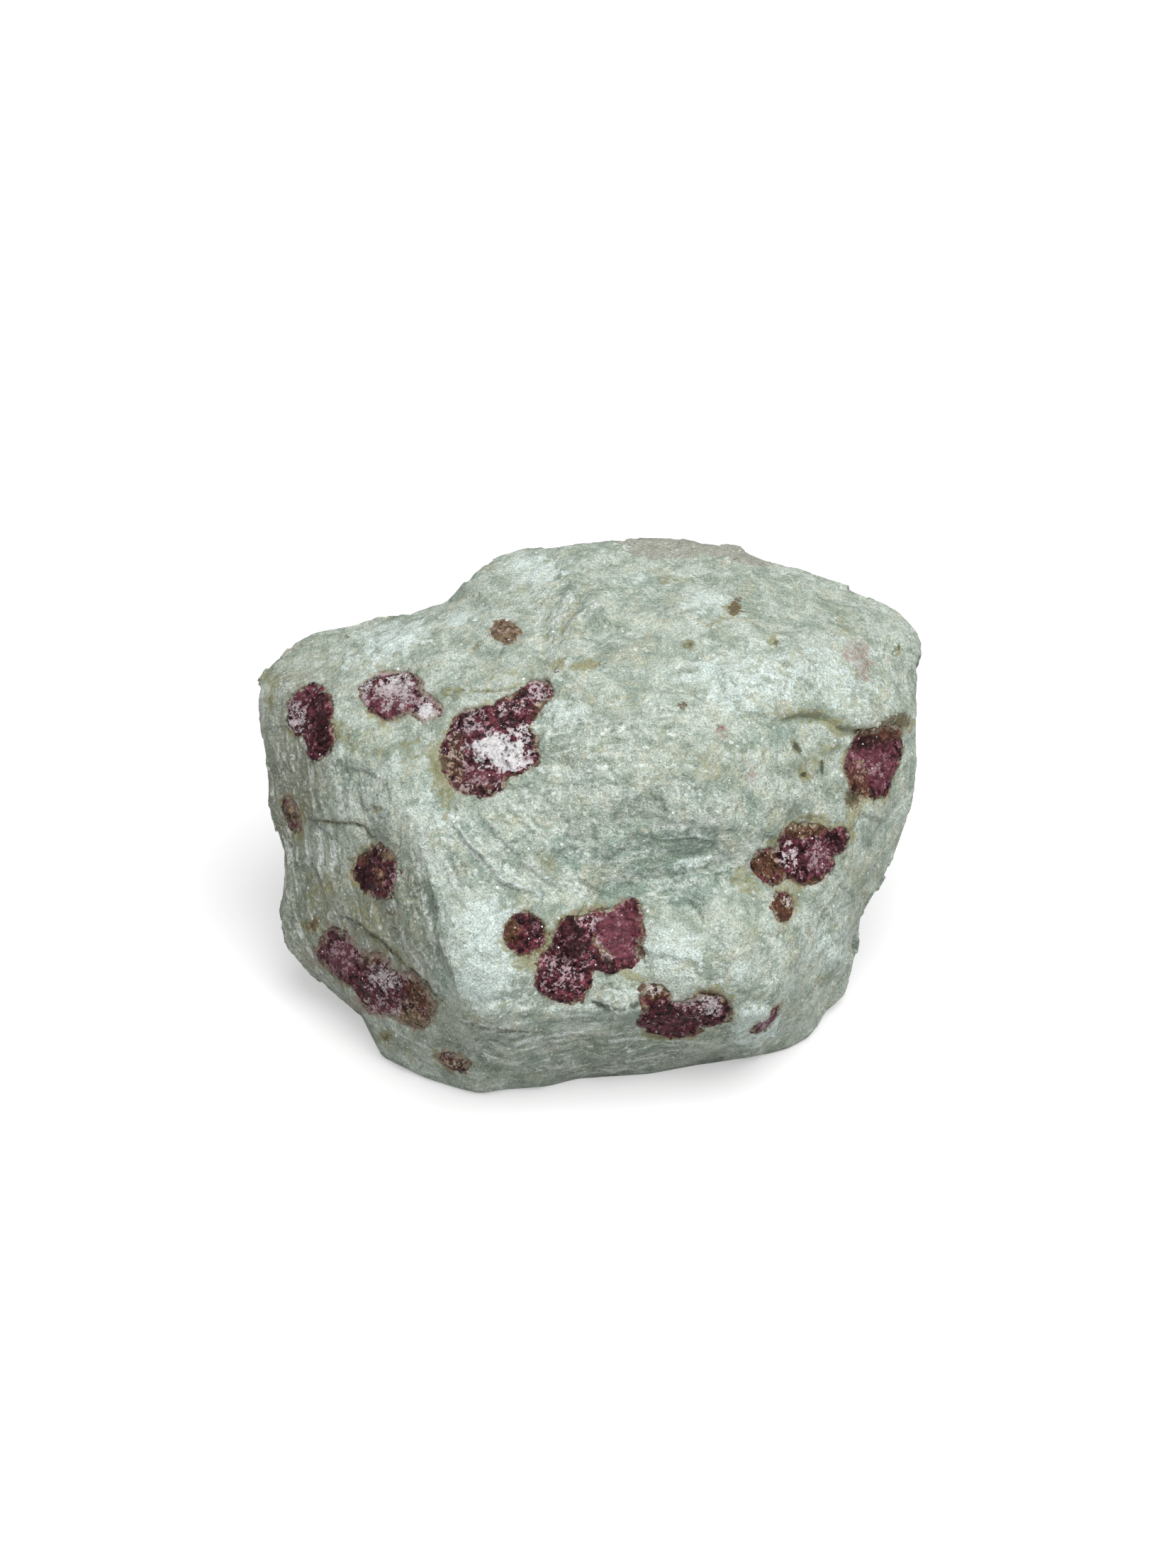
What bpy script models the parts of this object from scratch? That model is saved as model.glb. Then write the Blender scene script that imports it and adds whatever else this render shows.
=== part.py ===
"""A rough lump of pale green rock with pink tourmaline crystals broken across its faces.

The rock is set out the way it was measured: from in front, looking down at it by SIGHT_PITCH from
SIGHT_DISTANCE away. A landmark is (across, up, towards) in millimetres: across to the right and up
as they look from there, and towards the eye, all from one point at the heart of the rock.
The unseen side is set out in plain (x, y, z) millimetres from the same point.
Metres, +Z up. The origin is under the middle of the rock, on the surface that it rests on.
"""

import math

import bmesh
import bpy
from mathutils import Matrix, Vector, noise
from mathutils.bvhtree import BVHTree

MM = 0.001

# How the front was measured
SIGHT_PITCH = math.radians(35.0)
SIGHT_DISTANCE = 300.0 * MM
HEART_HEIGHT = 17.6 * MM

# The surface of the rock: flat chips of CHIP_SIZE, tilted by up to CHIP_TILT, over lower swells
SKIN_LEVEL = 6
SKIN_SMOOTHINGS = 2
SKIN_FULLNESS = 0.25 * MM
SKIN_FACES = 2350
CHIP_SIZE = 6.5 * MM
CHIP_TILT = 0.22
CELL_SPREAD = 31.7
SWELL_SIZE = 9.0 * MM
SWELL_HEIGHT = 0.55 * MM
SWELL_ROUGHNESS = 0.9
SWELL_OCTAVES = 3
FLATNESS = 0.02 * MM

# How a crystal sits in the rock, its depth being given in half widths
CRYSTAL_PROUD = 0.45 * MM
SEAM = 0.32 * MM
SEEN_DEPTH = 1.25
HIDDEN_DEPTH = 0.8
LUMP_LEVEL = 2
LUMP_UNEVENNESS = 0.13
LUMP_WAVES = 1.9
SEED_STEP = 7.3

# Where the rock turns away from the eye, clockwise from its upper left corner
RIM = [
    (-30.4, 12.4, -2), (-28.9, 14.5, -3), (-26.7, 16.6, -4), (-22.5, 17.4, -5), (-18.7, 17.9, -5),
    (-15.5, 18.1, -5), (-12.8, 19.1, -5.5), (-10.6, 21.1, -5.5), (-8.9, 23.5, -6), (-5.5, 24.6, -6),
    (-0.6, 24.8, -6), (4.1, 25.3, -7.5), (9.6, 25.1, -8), (14.8, 24.3, -8), (20.1, 23.0, -8),
    (24.8, 20.5, -7.5), (28.9, 18.7, -6.5), (30.1, 16.4, -5), (30.0, 12.3, -3.5), (29.5, 8.5, -2),
    (30.0, 4.6, -1), (29.4, 0.6, -1), (27.7, -2.0, -1), (27.0, -5.4, -1), (24.3, -7.9, -2),
    (24.0, -10.8, -3), (23.1, -14.7, -4.5), (21.3, -17.3, -3.5), (19.9, -20.0, -0.8), (-19.8, -18.5, -1.5),
    (-22.9, -15.7, -1.5), (-25.3, -13.9, -2), (-27.0, -12.4, -2), (-27.9, -8.8, -2), (-27.3, -5.2, -2),
    (-28.0, -1.8, -2), (-28.8, 0.8, -2), (-29.2, 4.2, -2), (-29.6, 8.1, -2),
]
# The long edge between the left face and the front
LEFT_EDGE = [
    (-27.2, 11.7, 3), (-22.9, 6.3, 8), (-18.6, 1.2, 12), (-16.3, -2.0, 14), (-14.1, -6.1, 16),
    (-13.3, -10.4, 17), (-12.9, -14.7, 16.5), (-10.9, -18.5, 14.5),
]
LEFT_FACE = [
    (-26.8, 2.5, 2.5), (-26.2, 0.3, 2.2), (-22.3, 0.5, 8.0), (-26.4, -1.3, 0.5), (-22.8, -1.2, 6.0),
    (-23.4, -5.2, 5.5), (-25.9, -8.7, 1.5), (-19.1, -6.1, 10), (-21.3, -9.6, 7.2), (-17.4, -11.9, 11.5),
    (-23.4, -11.6, 2.8), (-20.8, -14.7, 3.9), (-16.8, -15.9, 8.4), (-13.3, -16.2, 13.2), (-17.4, -18.9, 6),
    (-13.9, -20.2, 9),
]
# The lower shoulder at the upper left, up to the groove that parts it from the top
SHOULDER = [
    (-22.9, 14.1, 0.5), (-17.8, 15.6, 1), (-13.1, 17.3, 2), (-9.2, 19.6, 0), (-20.8, 11.9, 6.5),
    (-16.1, 12.3, 8), (-11.8, 11.9, 9.5), (-8.4, 16.6, 5), (-7.5, 12.8, 10), (-4.9, 14.1, 8.5),
    (-4.7, 16.3, 5.4), (-3.8, 19.2, 0.7),
]
TOP = [
    (-1.7, 19.6, 2.3), (-2.5, 16.2, 7.4), (-2.6, 13.9, 9.9), (1.1, 20.9, 0.4), (1.1, 17.5, 5.4),
    (4.9, 14.3, 10.3), (0.2, 13.6, 10.8), (0.6, 12.4, 10.9), (5.2, 12.9, 10.6), (9.6, 18.8, 3),
    (9.6, 14.1, 9), (13.9, 21.8, -2), (14.8, 16.6, 6), (19.1, 19.2, 0), (19.9, 14.1, 7.5),
    (24.2, 17.1, 0), (27.2, 13.6, 2), (23.8, 11.5, 7), (15.6, 11.1, 11.8),
]
FRONT = [
    (-4.3, 12.6, 9.1), (-9.2, 7.2, 12.5), (-13.5, 4.2, 13), (-4.1, 7.2, 13.5), (1.1, 11.5, 12),
    (1.1, 6.3, 15), (7.1, 10.2, 12.5), (7.1, 5.1, 15), (12.2, 7.2, 13.5), (-4.9, 0.8, 15.5),
    (0.2, 1.2, 15.5), (5.4, 2.1, 16), (10.5, 0.3, 15.5), (14.8, -1.8, 13.5), (-10.9, -0.1, 15.5),
    (-9.2, -5.2, 17),
]
# The hollow that runs down from the right, under the lip of the front
HOLLOW = [
    (4.9, -2.7, 13.5), (9.6, -3.1, 12.5), (-0.6, -3.5, 14.5), (2.8, -6.5, 12.5), (7.1, -6.1, 12),
    (11.4, -5.2, 11.5), (14.8, -4.8, 11),
]
# The two swellings below it, left and right, and the dip between them
SWELLINGS = [
    (-12.2, -8.7, 18), (-10.5, -12.1, 19), (-7.1, -10.8, 17.5), (-4.9, -6.1, 15.5), (-7.5, -15.5, 17.5),
    (-4.1, -13.4, 16.5), (-1.5, -9.9, 14.5), (1.1, -12.1, 15), (0.2, -16.4, 15.5), (3.6, -9.1, 13.5),
    (4.9, -14.7, 15), (7.1, -10.4, 15.5), (9.6, -13.8, 16.5), (11.4, -7.8, 14.5), (13.9, -11.2, 15.5),
    (13.9, -15.5, 15), (16.9, -8.7, 13), (18.2, -12.9, 12.5), (16.9, -17.2, 12), (5.4, -17.7, 14),
]
RIGHT_FACE = [
    (17.8, 9.1, 11.0), (23.8, 8.4, 8.4), (28.6, 9.5, 4.0), (19.1, 6.9, 9.2), (23.0, 6.3, 7.3),
    (27.0, 7.2, 3.6), (17.8, 2.1, 11.5), (21.7, 2.5, 8.3), (25.5, 4.2, 5.3), (28.5, 4.2, 1.8),
    (19.9, -1.4, 9), (22.5, -3.5, 7), (19.1, -5.2, 10), (25.5, -0.9, 4.5), (23.8, -6.1, 4),
    (21.2, -9.1, 7), (21.7, -13.4, 4), (19.9, -16.8, 5),
]
# The undercut below the swellings
FOOT = [
    (-7.9, -19.2, 14.5), (-4.1, -18.1, 14), (-5.8, -21.1, 11), (0.2, -19.4, 12.5), (6.2, -20.2, 10.5),
    (11.4, -20.7, 9), (-10.1, -22.4, 9), (-0.6, -22.4, 6.5), (7.1, -21.7, 4),
]
# The unseen side, in (x, y, z)
BACK = [
    (-20, 17, 6), (-8, 22, 9), (5, 25, 10), (18, 22, 8), (26, 14, 5),
    (-26, 9, -2), (-21, 13, -9), (-8, 20, -5), (6, 22, -7), (18, 18, -7),
    (26, 9, -6), (-13, 17, 1), (12, 23, 1),
]
# The edge of the underside, in (x, y), and how far below the heart it lies
BASE_EDGE = [
    (-24.0, -2.2), (-21.9, -5.4), (-19.9, -9.3), (-18.4, -13.8), (-16.2, -15.1), (-12.2, -17.1),
    (-9.6, -18.1), (-5.9, -17.2), (-2.0, -15.8), (4.0, -14.2), (8.2, -14.1), (12.2, -13.2),
    (16.3, -12.3), (18.4, -11.6), (20.0, -9.7), (21.5, -5.9), (22.9, 0.8), (23.4, 6.5),
    (19.0, 12.5), (11.0, 16.5), (0.0, 18.0), (-11.0, 15.5), (-19.0, 9.5), (-24.0, 3.0),
]
BASE_EDGE_DEPTH = 18.0 * MM
UNDERSIDE_DEPTH = 19.6 * MM

# Each crystal is made of lumps: across, up, half its width, half its height, then its turn in degrees
CRYSTALS = {
    "tourmaline_upper_left": [(-25.3, 9.6, 2.5, 2.5, 0), (-24.5, 7.3, 1.6, 2.0, 10)],
    "tourmaline_shoulder": [(-17.8, 11.3, 3.0, 2.4, -8), (-15.0, 10.1, 1.9, 1.2, -20)],
    "tourmaline_large": [
        (-9.9, 5.9, 3.5, 4.4, 0), (-7.0, 6.2, 2.3, 2.6, 0), (-6.9, 9.5, 3.0, 1.4, 30),
        (-4.5, 11.2, 1.4, 1.3, 0),
    ],
    "tourmaline_brown_bead": [(-7.5, 16.8, 1.4, 1.4, 0)],
    "tourmaline_left_face": [(-19.2, -5.1, 3.5, 2.1, -10)],
    "tourmaline_lower_left": [
        (-22.6, -12.7, 3.2, 2.6, 10), (-19.3, -15.0, 3.2, 3.1, 0), (-16.2, -16.7, 3.0, 2.4, -20),
    ],
    "tourmaline_left_sliver": [(-26.7, 0.3, 0.9, 1.6, 15)],
    "tourmaline_foot_chip": [(-12.1, -22.3, 1.5, 0.9, -20)],
    "tourmaline_bead": [(-5.7, -10.6, 1.9, 1.9, 0)],
    "tourmaline_middle": [
        (-2.1, -14.2, 2.6, 2.6, 0), (-1.0, -11.4, 1.9, 2.4, 20), (2.1, -11.0, 3.0, 2.9, 0),
        (3.6, -8.7, 1.4, 1.2, 0),
    ],
    "tourmaline_foot": [
        (7.7, -18.4, 2.9, 2.1, -5), (10.8, -17.8, 2.3, 2.0, 0), (6.1, -16.3, 1.4, 1.1, 0),
    ],
    "tourmaline_foot_bead": [(15.9, -18.3, 1.0, 1.6, -20)],
    "tourmaline_hollow": [
        (16.3, -4.5, 1.8, 1.6, 0), (19.9, -3.4, 2.9, 2.8, 0), (22.5, -2.1, 1.4, 1.2, 20),
    ],
    "tourmaline_hollow_bead": [(17.7, -8.2, 1.1, 1.5, -25)],
    "tourmaline_right": [(25.9, 4.7, 3.0, 3.3, -15), (27.2, 6.6, 2.2, 1.5, 10)],
}
# On the unseen side the lumps are placed by bearing and height angle from the heart, in degrees,
# bearing 0 being to the right and 90 to the back
HIDDEN_CRYSTALS = {
    "tourmaline_back_large": [(100, 12, 4.4, 3.7, 15)],
    "tourmaline_back_left": [(143, 8, 2.6, 3.3, -20)],
    "tourmaline_back_low": [(112, -24, 3.4, 2.2, 10)],
    "tourmaline_back_right": [(60, -2, 2.7, 3.1, 25)],
    "tourmaline_back_bead": [(78, -18, 1.7, 1.6, 0)],
    "tourmaline_left_end": [(164, -16, 2.4, 2.9, 0)],
    "tourmaline_right_end": [(30, -9, 2.9, 2.3, -25)],
}


def seen(across, up, towards):
    """The place, from the heart, of a landmark measured along the sight."""
    spread = (1.0 - towards * MM / SIGHT_DISTANCE) * MM
    return Vector((
        across * spread,
        up * spread * math.sin(SIGHT_PITCH) - towards * MM * math.cos(SIGHT_PITCH),
        up * spread * math.cos(SIGHT_PITCH) + towards * MM * math.sin(SIGHT_PITCH),
    ))


def from_heart(bearing, height):
    """The direction at a bearing and a height angle, in degrees."""
    flat = math.cos(math.radians(height))
    return Vector((
        flat * math.cos(math.radians(bearing)),
        flat * math.sin(math.radians(bearing)),
        math.sin(math.radians(height)),
    ))


def landmarks():
    """Every landmark of the rock, as places from its heart."""
    front = RIM + LEFT_EDGE + LEFT_FACE + SHOULDER + TOP + FRONT + HOLLOW + SWELLINGS + RIGHT_FACE + FOOT
    edge = [Vector((across * MM, along * MM, -BASE_EDGE_DEPTH)) for across, along in BASE_EDGE]
    below = [Vector((corner.x / 2.0, corner.y / 2.0, -UNDERSIDE_DEPTH)) for corner in edge[::3]]
    return [seen(*point) for point in front] + [Vector(point) * MM for point in BACK] + edge + below


def block():
    """The rock as flat facets between its landmarks, joined up as they lie around the heart."""
    places = landmarks()
    made = bmesh.new()
    corners = {made.verts.new(place.normalized()): place for place in places}
    bmesh.ops.convex_hull(made, input=made.verts)
    for corner, place in corners.items():
        corner.co = place
    return BVHTree.FromBMesh(made)


def chipped(place):
    """How far a broken face stands out here: flat chips, each tilted its own way, over low swells."""
    _, centres = noise.voronoi(place / CHIP_SIZE)
    tilt = noise.cell_vector(centres[0] * CELL_SPREAD) - Vector((0.5, 0.5, 0.5))
    chip = tilt.dot(place - centres[0] * CHIP_SIZE) * CHIP_TILT
    return chip + noise.fractal(place / SWELL_SIZE, SWELL_ROUGHNESS, 2.0, SWELL_OCTAVES) * SWELL_HEIGHT


def object_from(made, name):
    """A new object that holds this bmesh."""
    mesh = bpy.data.meshes.new(name)
    made.to_mesh(mesh)
    made.free()
    thing = bpy.data.objects.new(name, mesh)
    bpy.context.scene.collection.objects.link(thing)
    return thing


def settled(thing):
    """The object with its modifiers applied to its mesh."""
    bpy.context.view_layer.update()
    graph = bpy.context.evaluated_depsgraph_get()
    mesh = bpy.data.meshes.new_from_object(thing.evaluated_get(graph))
    thing.modifiers.clear()
    thing.data = mesh
    return thing


def cut_flat(thing, height):
    """Cuts away what lies below this height and closes the cut."""
    made = bmesh.new()
    made.from_mesh(thing.data)
    every = made.verts[:] + made.edges[:] + made.faces[:]
    level = {"plane_co": (0, 0, height), "plane_no": (0, 0, 1)}
    cut = bmesh.ops.bisect_plane(made, geom=every, dist=FLATNESS, clear_inner=True, **level)
    edges = [part for part in cut["geom_cut"] if isinstance(part, bmesh.types.BMEdge)]
    bmesh.ops.edgeloop_fill(made, edges=edges)
    bmesh.ops.recalc_face_normals(made, faces=made.faces)
    made.to_mesh(thing.data)
    made.free()


def rock():
    """The whole rock with no crystal let into it, cut flat where it rests."""
    facets = block()
    made = bmesh.new()
    bmesh.ops.create_icosphere(made, subdivisions=SKIN_LEVEL, radius=1.0)
    every_way = {"use_axis_x": True, "use_axis_y": True, "use_axis_z": True}
    for vert in made.verts:
        direction = vert.co.normalized()
        place = facets.ray_cast(Vector(), direction)[0]
        vert.co = place + direction * (SKIN_FULLNESS + chipped(place))
    for _ in range(SKIN_SMOOTHINGS):
        bmesh.ops.smooth_vert(made, verts=made.verts, factor=0.5, **every_way)
    for vert in made.verts:
        vert.co.z += HEART_HEIGHT
    thing = object_from(made, "matrix")
    fewer = thing.modifiers.new("fewer", "DECIMATE")
    fewer.ratio = SKIN_FACES / len(thing.data.polygons)
    settled(thing)
    cut_flat(thing, 0.0)
    return thing


def grown(thing, by):
    """A copy of the rock that stands out further all over, for the crystals' faces."""
    made = bmesh.new()
    made.from_mesh(thing.data)
    made.normal_update()
    moves = [vert.normal * by for vert in made.verts]
    for vert, move in zip(made.verts, moves):
        vert.co += move
    copy = object_from(made, "grown")
    cut_flat(copy, SEAM)
    return copy


def lump(centre, axes, half_sizes, seed, swell):
    """One rough lump of crystal, standing along its own axes, a little uneven."""
    made = bmesh.new()
    bmesh.ops.create_icosphere(made, subdivisions=LUMP_LEVEL, radius=1.0)
    for vert in made.verts:
        uneven = 1.0 + LUMP_UNEVENNESS * noise.noise(vert.co * LUMP_WAVES + Vector((seed, 0, 0)))
        sizes = [half * uneven * MM + swell for half in half_sizes]
        vert.co = centre + axes @ Vector([size * part for size, part in zip(sizes, vert.co)])
    return made


def lumps_of(place, surface, swell):
    """The lumps of one crystal as bmeshes, each centred on the surface of the rock."""
    made = []
    for index, (first, second, half_wide, half_high, turn) in enumerate(place["lumps"]):
        centre, axes = place["find"](first, second, surface)
        axes = axes @ Matrix.Rotation(math.radians(turn), 3, "Z")
        deep = place["depth"] * (half_wide + half_high) / 2.0
        made.append(lump(centre, axes, (half_wide, half_high, deep), place["seed"] + index, swell))
    return made


def on_the_front(across, up, surface):
    """Where a sight line meets the rock, and the axes of a lump there, which runs along the sight."""
    heart = Vector((0, 0, HEART_HEIGHT))
    towards = seen(0, 0, 1).normalized()
    eye = heart + towards * SIGHT_DISTANCE
    line = (heart + seen(across, up, 0) - eye).normalized()
    centre = surface.ray_cast(eye, line)[0]
    right = line.cross(Vector((0, 0, 1))).normalized()
    axes = Matrix((right, right.cross(line), -line)).transposed()
    return centre, axes


def on_the_back(bearing, height, surface):
    """Where a line from the heart leaves the rock, and the axes of a lump there, square to the face."""
    heart = Vector((0, 0, HEART_HEIGHT))
    centre, normal, _, _ = surface.ray_cast(heart, from_heart(bearing, height))
    right = Vector((0, 0, 1)).cross(normal).normalized()
    return centre, Matrix((right, normal.cross(right), normal)).transposed()


def places_of_crystals():
    """Each crystal's name with its lumps, how they are placed, how deep they reach and their seed."""
    found = {}
    sides = ((CRYSTALS, on_the_front, SEEN_DEPTH), (HIDDEN_CRYSTALS, on_the_back, HIDDEN_DEPTH))
    for table, find, depth in sides:
        for name, lumps in table.items():
            found[name] = {"lumps": lumps, "find": find, "depth": depth, "seed": SEED_STEP * len(found)}
    return found


def combined(meshes, name):
    """Several overlapping lumps as one closed object."""
    first, *others = [object_from(made, name) for made in meshes]
    for other in others:
        with_boolean(first, other, "UNION")
        bpy.data.objects.remove(other)
    return first


def with_boolean(thing, other, operation):
    """Applies one Boolean to the object."""
    step = thing.modifiers.new(operation, "BOOLEAN")
    step.operation = operation
    step.object = other
    step.solver = "EXACT"
    return settled(thing)


def finish(colour, roughness, name):
    """A plain finish with the mineral's own colour."""
    material = bpy.data.materials.new(name)
    material.use_nodes = True
    shader = material.node_tree.nodes["Principled BSDF"]
    shader.inputs["Base Color"].default_value = (*colour, 1.0)
    shader.inputs["Roughness"].default_value = roughness
    return material


def centre_over_origin(things):
    """Moves everything so that the middle of the rock stands over the origin."""
    corners = [thing.matrix_world @ vert.co for thing in things for vert in thing.data.vertices]
    middle = Vector([
        (min(corner[axis] for corner in corners) + max(corner[axis] for corner in corners)) / 2.0
        for axis in (0, 1)
    ] + [0.0])
    for thing in things:
        thing.data.transform(Matrix.Translation(-middle))
    print("moved by", [round(part / MM, 3) for part in -middle], "mm")


def main():
    for old in list(bpy.data.objects):
        bpy.data.objects.remove(old)
    matrix = rock()
    surface = BVHTree.FromObject(matrix, bpy.context.evaluated_depsgraph_get())
    outer = grown(matrix, CRYSTAL_PROUD)
    green = finish((0.60, 0.68, 0.61), 0.75, "pale_green_rock")
    pink = finish((0.33, 0.10, 0.15), 0.45, "pink_tourmaline")
    matrix.data.materials.append(green)
    crystals = []
    for name, place in places_of_crystals().items():
        crystal = combined(lumps_of(place, surface, 0.0), name)
        with_boolean(crystal, outer, "INTERSECT")
        crystal.data.materials.clear()
        crystal.data.materials.append(pink)
        crystals.append(crystal)
        socket = combined(lumps_of(place, surface, SEAM), "socket")
        with_boolean(matrix, socket, "DIFFERENCE")
        bpy.data.objects.remove(socket)
    bpy.data.objects.remove(outer)
    centre_over_origin([matrix, *crystals])
    for thing in [matrix, *crystals]:
        print(thing.name, len(thing.data.polygons), "faces")


main()
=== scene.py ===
# %% [markdown]
# # A rough lump of pale green rock with pink tourmaline
#
# The real object is one lump of pale, sugary rock, with dark pink tourmaline crystals grown in it.
# It was broken out of its bed, so every face is a fracture, and the crystals are cut through level
# with the faces. This notebook dresses the plain solids of the frame: the rock gets one skin with
# its ledges, grooves and fibres, and each crystal gets a granular piece of its own.

# %% Load the solids
import math
from itertools import product

import bpy
import numpy as np
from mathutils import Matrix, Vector
from mathutils.bvhtree import BVHTree


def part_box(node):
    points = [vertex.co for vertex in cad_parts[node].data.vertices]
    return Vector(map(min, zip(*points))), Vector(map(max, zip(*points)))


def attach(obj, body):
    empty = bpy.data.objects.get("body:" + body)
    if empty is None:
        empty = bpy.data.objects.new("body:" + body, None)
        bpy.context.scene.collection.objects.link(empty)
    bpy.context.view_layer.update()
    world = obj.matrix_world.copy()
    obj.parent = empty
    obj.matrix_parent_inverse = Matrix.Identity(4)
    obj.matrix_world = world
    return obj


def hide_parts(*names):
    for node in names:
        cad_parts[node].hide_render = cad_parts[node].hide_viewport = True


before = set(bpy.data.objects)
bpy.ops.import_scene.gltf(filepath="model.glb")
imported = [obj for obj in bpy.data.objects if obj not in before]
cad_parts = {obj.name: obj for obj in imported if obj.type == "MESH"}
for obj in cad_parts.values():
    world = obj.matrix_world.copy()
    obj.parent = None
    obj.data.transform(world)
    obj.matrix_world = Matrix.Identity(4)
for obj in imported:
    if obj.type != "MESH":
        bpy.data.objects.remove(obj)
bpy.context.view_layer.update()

MM = 0.001

# %% [markdown]
# ## The sight
#
# Everything on the front is placed as somebody sees it who looks down at the rock at 35 degrees:
# a place is given as (across, up) in millimetres, measured at the heart of the rock. The camera
# stands where that person's eye is, so the same numbers serve for the view and for the marks.

# %% The eye and the camera
HEART = Vector((-0.061, -1.271, 17.6)) * MM
SIGHT_PITCH = math.radians(35.0)
SIGHT_DISTANCE = 300.0 * MM
PICTURE_HEIGHT = 142.25 * MM
AIM_RISE = 2.96 * MM
SENSOR = 36.0

ACROSS = Vector((1.0, 0.0, 0.0))
TOWARDS = Vector((0.0, -math.cos(SIGHT_PITCH), math.sin(SIGHT_PITCH)))
UP = TOWARDS.cross(ACROSS)
EYE = HEART + TOWARDS * SIGHT_DISTANCE


def sight(places):
    """Across, up and towards of each place, in millimetres, as the eye sees it."""
    offset = places - np.array(HEART)
    towards = offset @ np.array(TOWARDS)
    spread = (1.0 - towards / SIGHT_DISTANCE) * MM
    return offset @ np.array(ACROSS) / spread, offset @ np.array(UP) / spread, towards / MM


lens = bpy.data.cameras.new("camera")
lens.sensor_width = SENSOR
lens.lens = SENSOR * SIGHT_DISTANCE / PICTURE_HEIGHT
lens.clip_start = 0.01
camera = bpy.data.objects.new("camera", lens)
bpy.context.scene.collection.objects.link(camera)
camera.location = EYE
camera.rotation_mode = "QUATERNION"
camera.rotation_quaternion = (HEART + UP * AIM_RISE - EYE).to_track_quat("-Z", "Y")
bpy.context.scene.camera = camera
print("lens", round(lens.lens, 1), "mm")

# %% [markdown]
# ## Light and floor
#
# A mineral is usually shown on white under a broad lamp that hangs over it, a little to the front
# and to the right. The top and the front are then bright, the left face falls off gently and
# nothing casts a hard shadow. One large area light does this, with a dim white world for the rest.

# %% The lamp and the room
# Metres
LAMP_SIZE = 0.55
LAMP_PLACE = Vector((0.11, -0.20, 0.60))
# Watts
LAMP_POWER = 4.6
ROOM_LIGHT = 0.34


def tint(hex_colour):
    """A colour as it looks on a screen, turned into the linear numbers that light is reckoned in."""
    parts = [int(hex_colour[start:start + 2], 16) / 255.0 for start in (1, 3, 5)]
    linear = [part / 12.92 if part <= 0.04045 else ((part + 0.055) / 1.055) ** 2.4 for part in parts]
    return (*linear, 1.0)


def put_in(tree, kind, inputs=None, **settings):
    """Adds one node, with its settings, and with values or other nodes' outputs in its inputs."""
    node = tree.nodes.new("ShaderNode" + kind)
    for key, value in settings.items():
        setattr(node, key, value)
    for socket, value in (inputs or {}).items():
        if isinstance(value, bpy.types.NodeSocket):
            tree.links.new(value, node.inputs[socket])
        else:
            node.inputs[socket].default_value = value
    return node


def new_material(name):
    """An empty material: its node tree and the output node."""
    material = bpy.data.materials.new(name)
    material.use_nodes = True
    material.node_tree.nodes.clear()
    return material, material.node_tree, put_in(material.node_tree, "OutputMaterial")


bpy.context.scene.view_settings.view_transform = "Standard"
lamp = bpy.data.lights.new("lamp", "AREA")
lamp.shape = "DISK"
lamp.size = LAMP_SIZE
lamp.energy = LAMP_POWER
lamp_stand = bpy.data.objects.new("lamp", lamp)
lamp_stand.location = LAMP_PLACE
lamp_stand.rotation_mode = "QUATERNION"
lamp_stand.rotation_quaternion = (HEART - LAMP_PLACE).to_track_quat("-Z", "Y")
bpy.context.scene.collection.objects.link(lamp_stand)

room = bpy.data.worlds.new("room")
room.use_nodes = True
tree = room.node_tree
tree.nodes.clear()
ray = put_in(tree, "LightPath")
limits = {"Value": ray.outputs["Is Camera Ray"], "To Min": ROOM_LIGHT, "To Max": 1.0}
strength = put_in(tree, "MapRange", limits)
glow = put_in(tree, "Background", {"Color": tint("#ffffff"), "Strength": strength.outputs[0]})
put_in(tree, "OutputWorld", {"Surface": glow.outputs[0]})
bpy.context.scene.world = room
print("lamp", LAMP_SIZE, "m wide, at", LAMP_POWER, "watts")

# %% [markdown]
# The floor is plain white paper. A page round a picture is brighter than paper under a lamp, so for
# the camera alone the floor also glows a little, and more the further it lies from the rock. The
# rock's soft shadow stays, and the floor's edge melts into the white.

# %% The floor
FLOOR_SIDE = 4.0
# Metres from the rock
GLOW_FROM, GLOW_TO = 0.05, 0.35
PAPER = (0.62, 0.62, 0.62, 1.0)
LEAST_GLOW, MOST_GLOW = 0.42, 0.8

bpy.ops.mesh.primitive_plane_add(size=FLOOR_SIDE)
floor = bpy.context.active_object
floor.name = "floor"
material, tree, out = new_material("white_floor")
paper = put_in(tree, "BsdfDiffuse", {"Color": PAPER})
spot = put_in(tree, "VectorMath", {0: put_in(tree, "TexCoord").outputs["Object"]}, operation="LENGTH")
limits = {"Value": spot.outputs["Value"], "From Min": GLOW_FROM, "From Max": GLOW_TO}
limits.update({"To Min": LEAST_GLOW, "To Max": MOST_GLOW})
reach = put_in(tree, "MapRange", limits)
sheen = put_in(tree, "Emission", {"Color": tint("#ffffff"), "Strength": reach.outputs[0]})
ray = put_in(tree, "LightPath")
shown = put_in(tree, "AddShader", {0: paper.outputs[0], 1: sheen.outputs[0]})
either = {0: ray.outputs["Is Camera Ray"], 1: paper.outputs[0], 2: shown.outputs[0]}
tree.links.new(put_in(tree, "MixShader", either).outputs[0], out.inputs["Surface"])
floor.data.materials.append(material)
print("floor", FLOOR_SIDE, "m wide")

# %% [markdown]
# ## Ways to shape a mesh
#
# Rock has no edges to draw by hand. It is easier to start from the plain solid, remesh it into an
# even net of small squares, and then push each point of the net in or out. The helpers below
# select an object, apply one modifier to it, and read or write all of its points at once.

# %% Modifiers and points
MERGE_WITHIN = 0.000001


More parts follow.
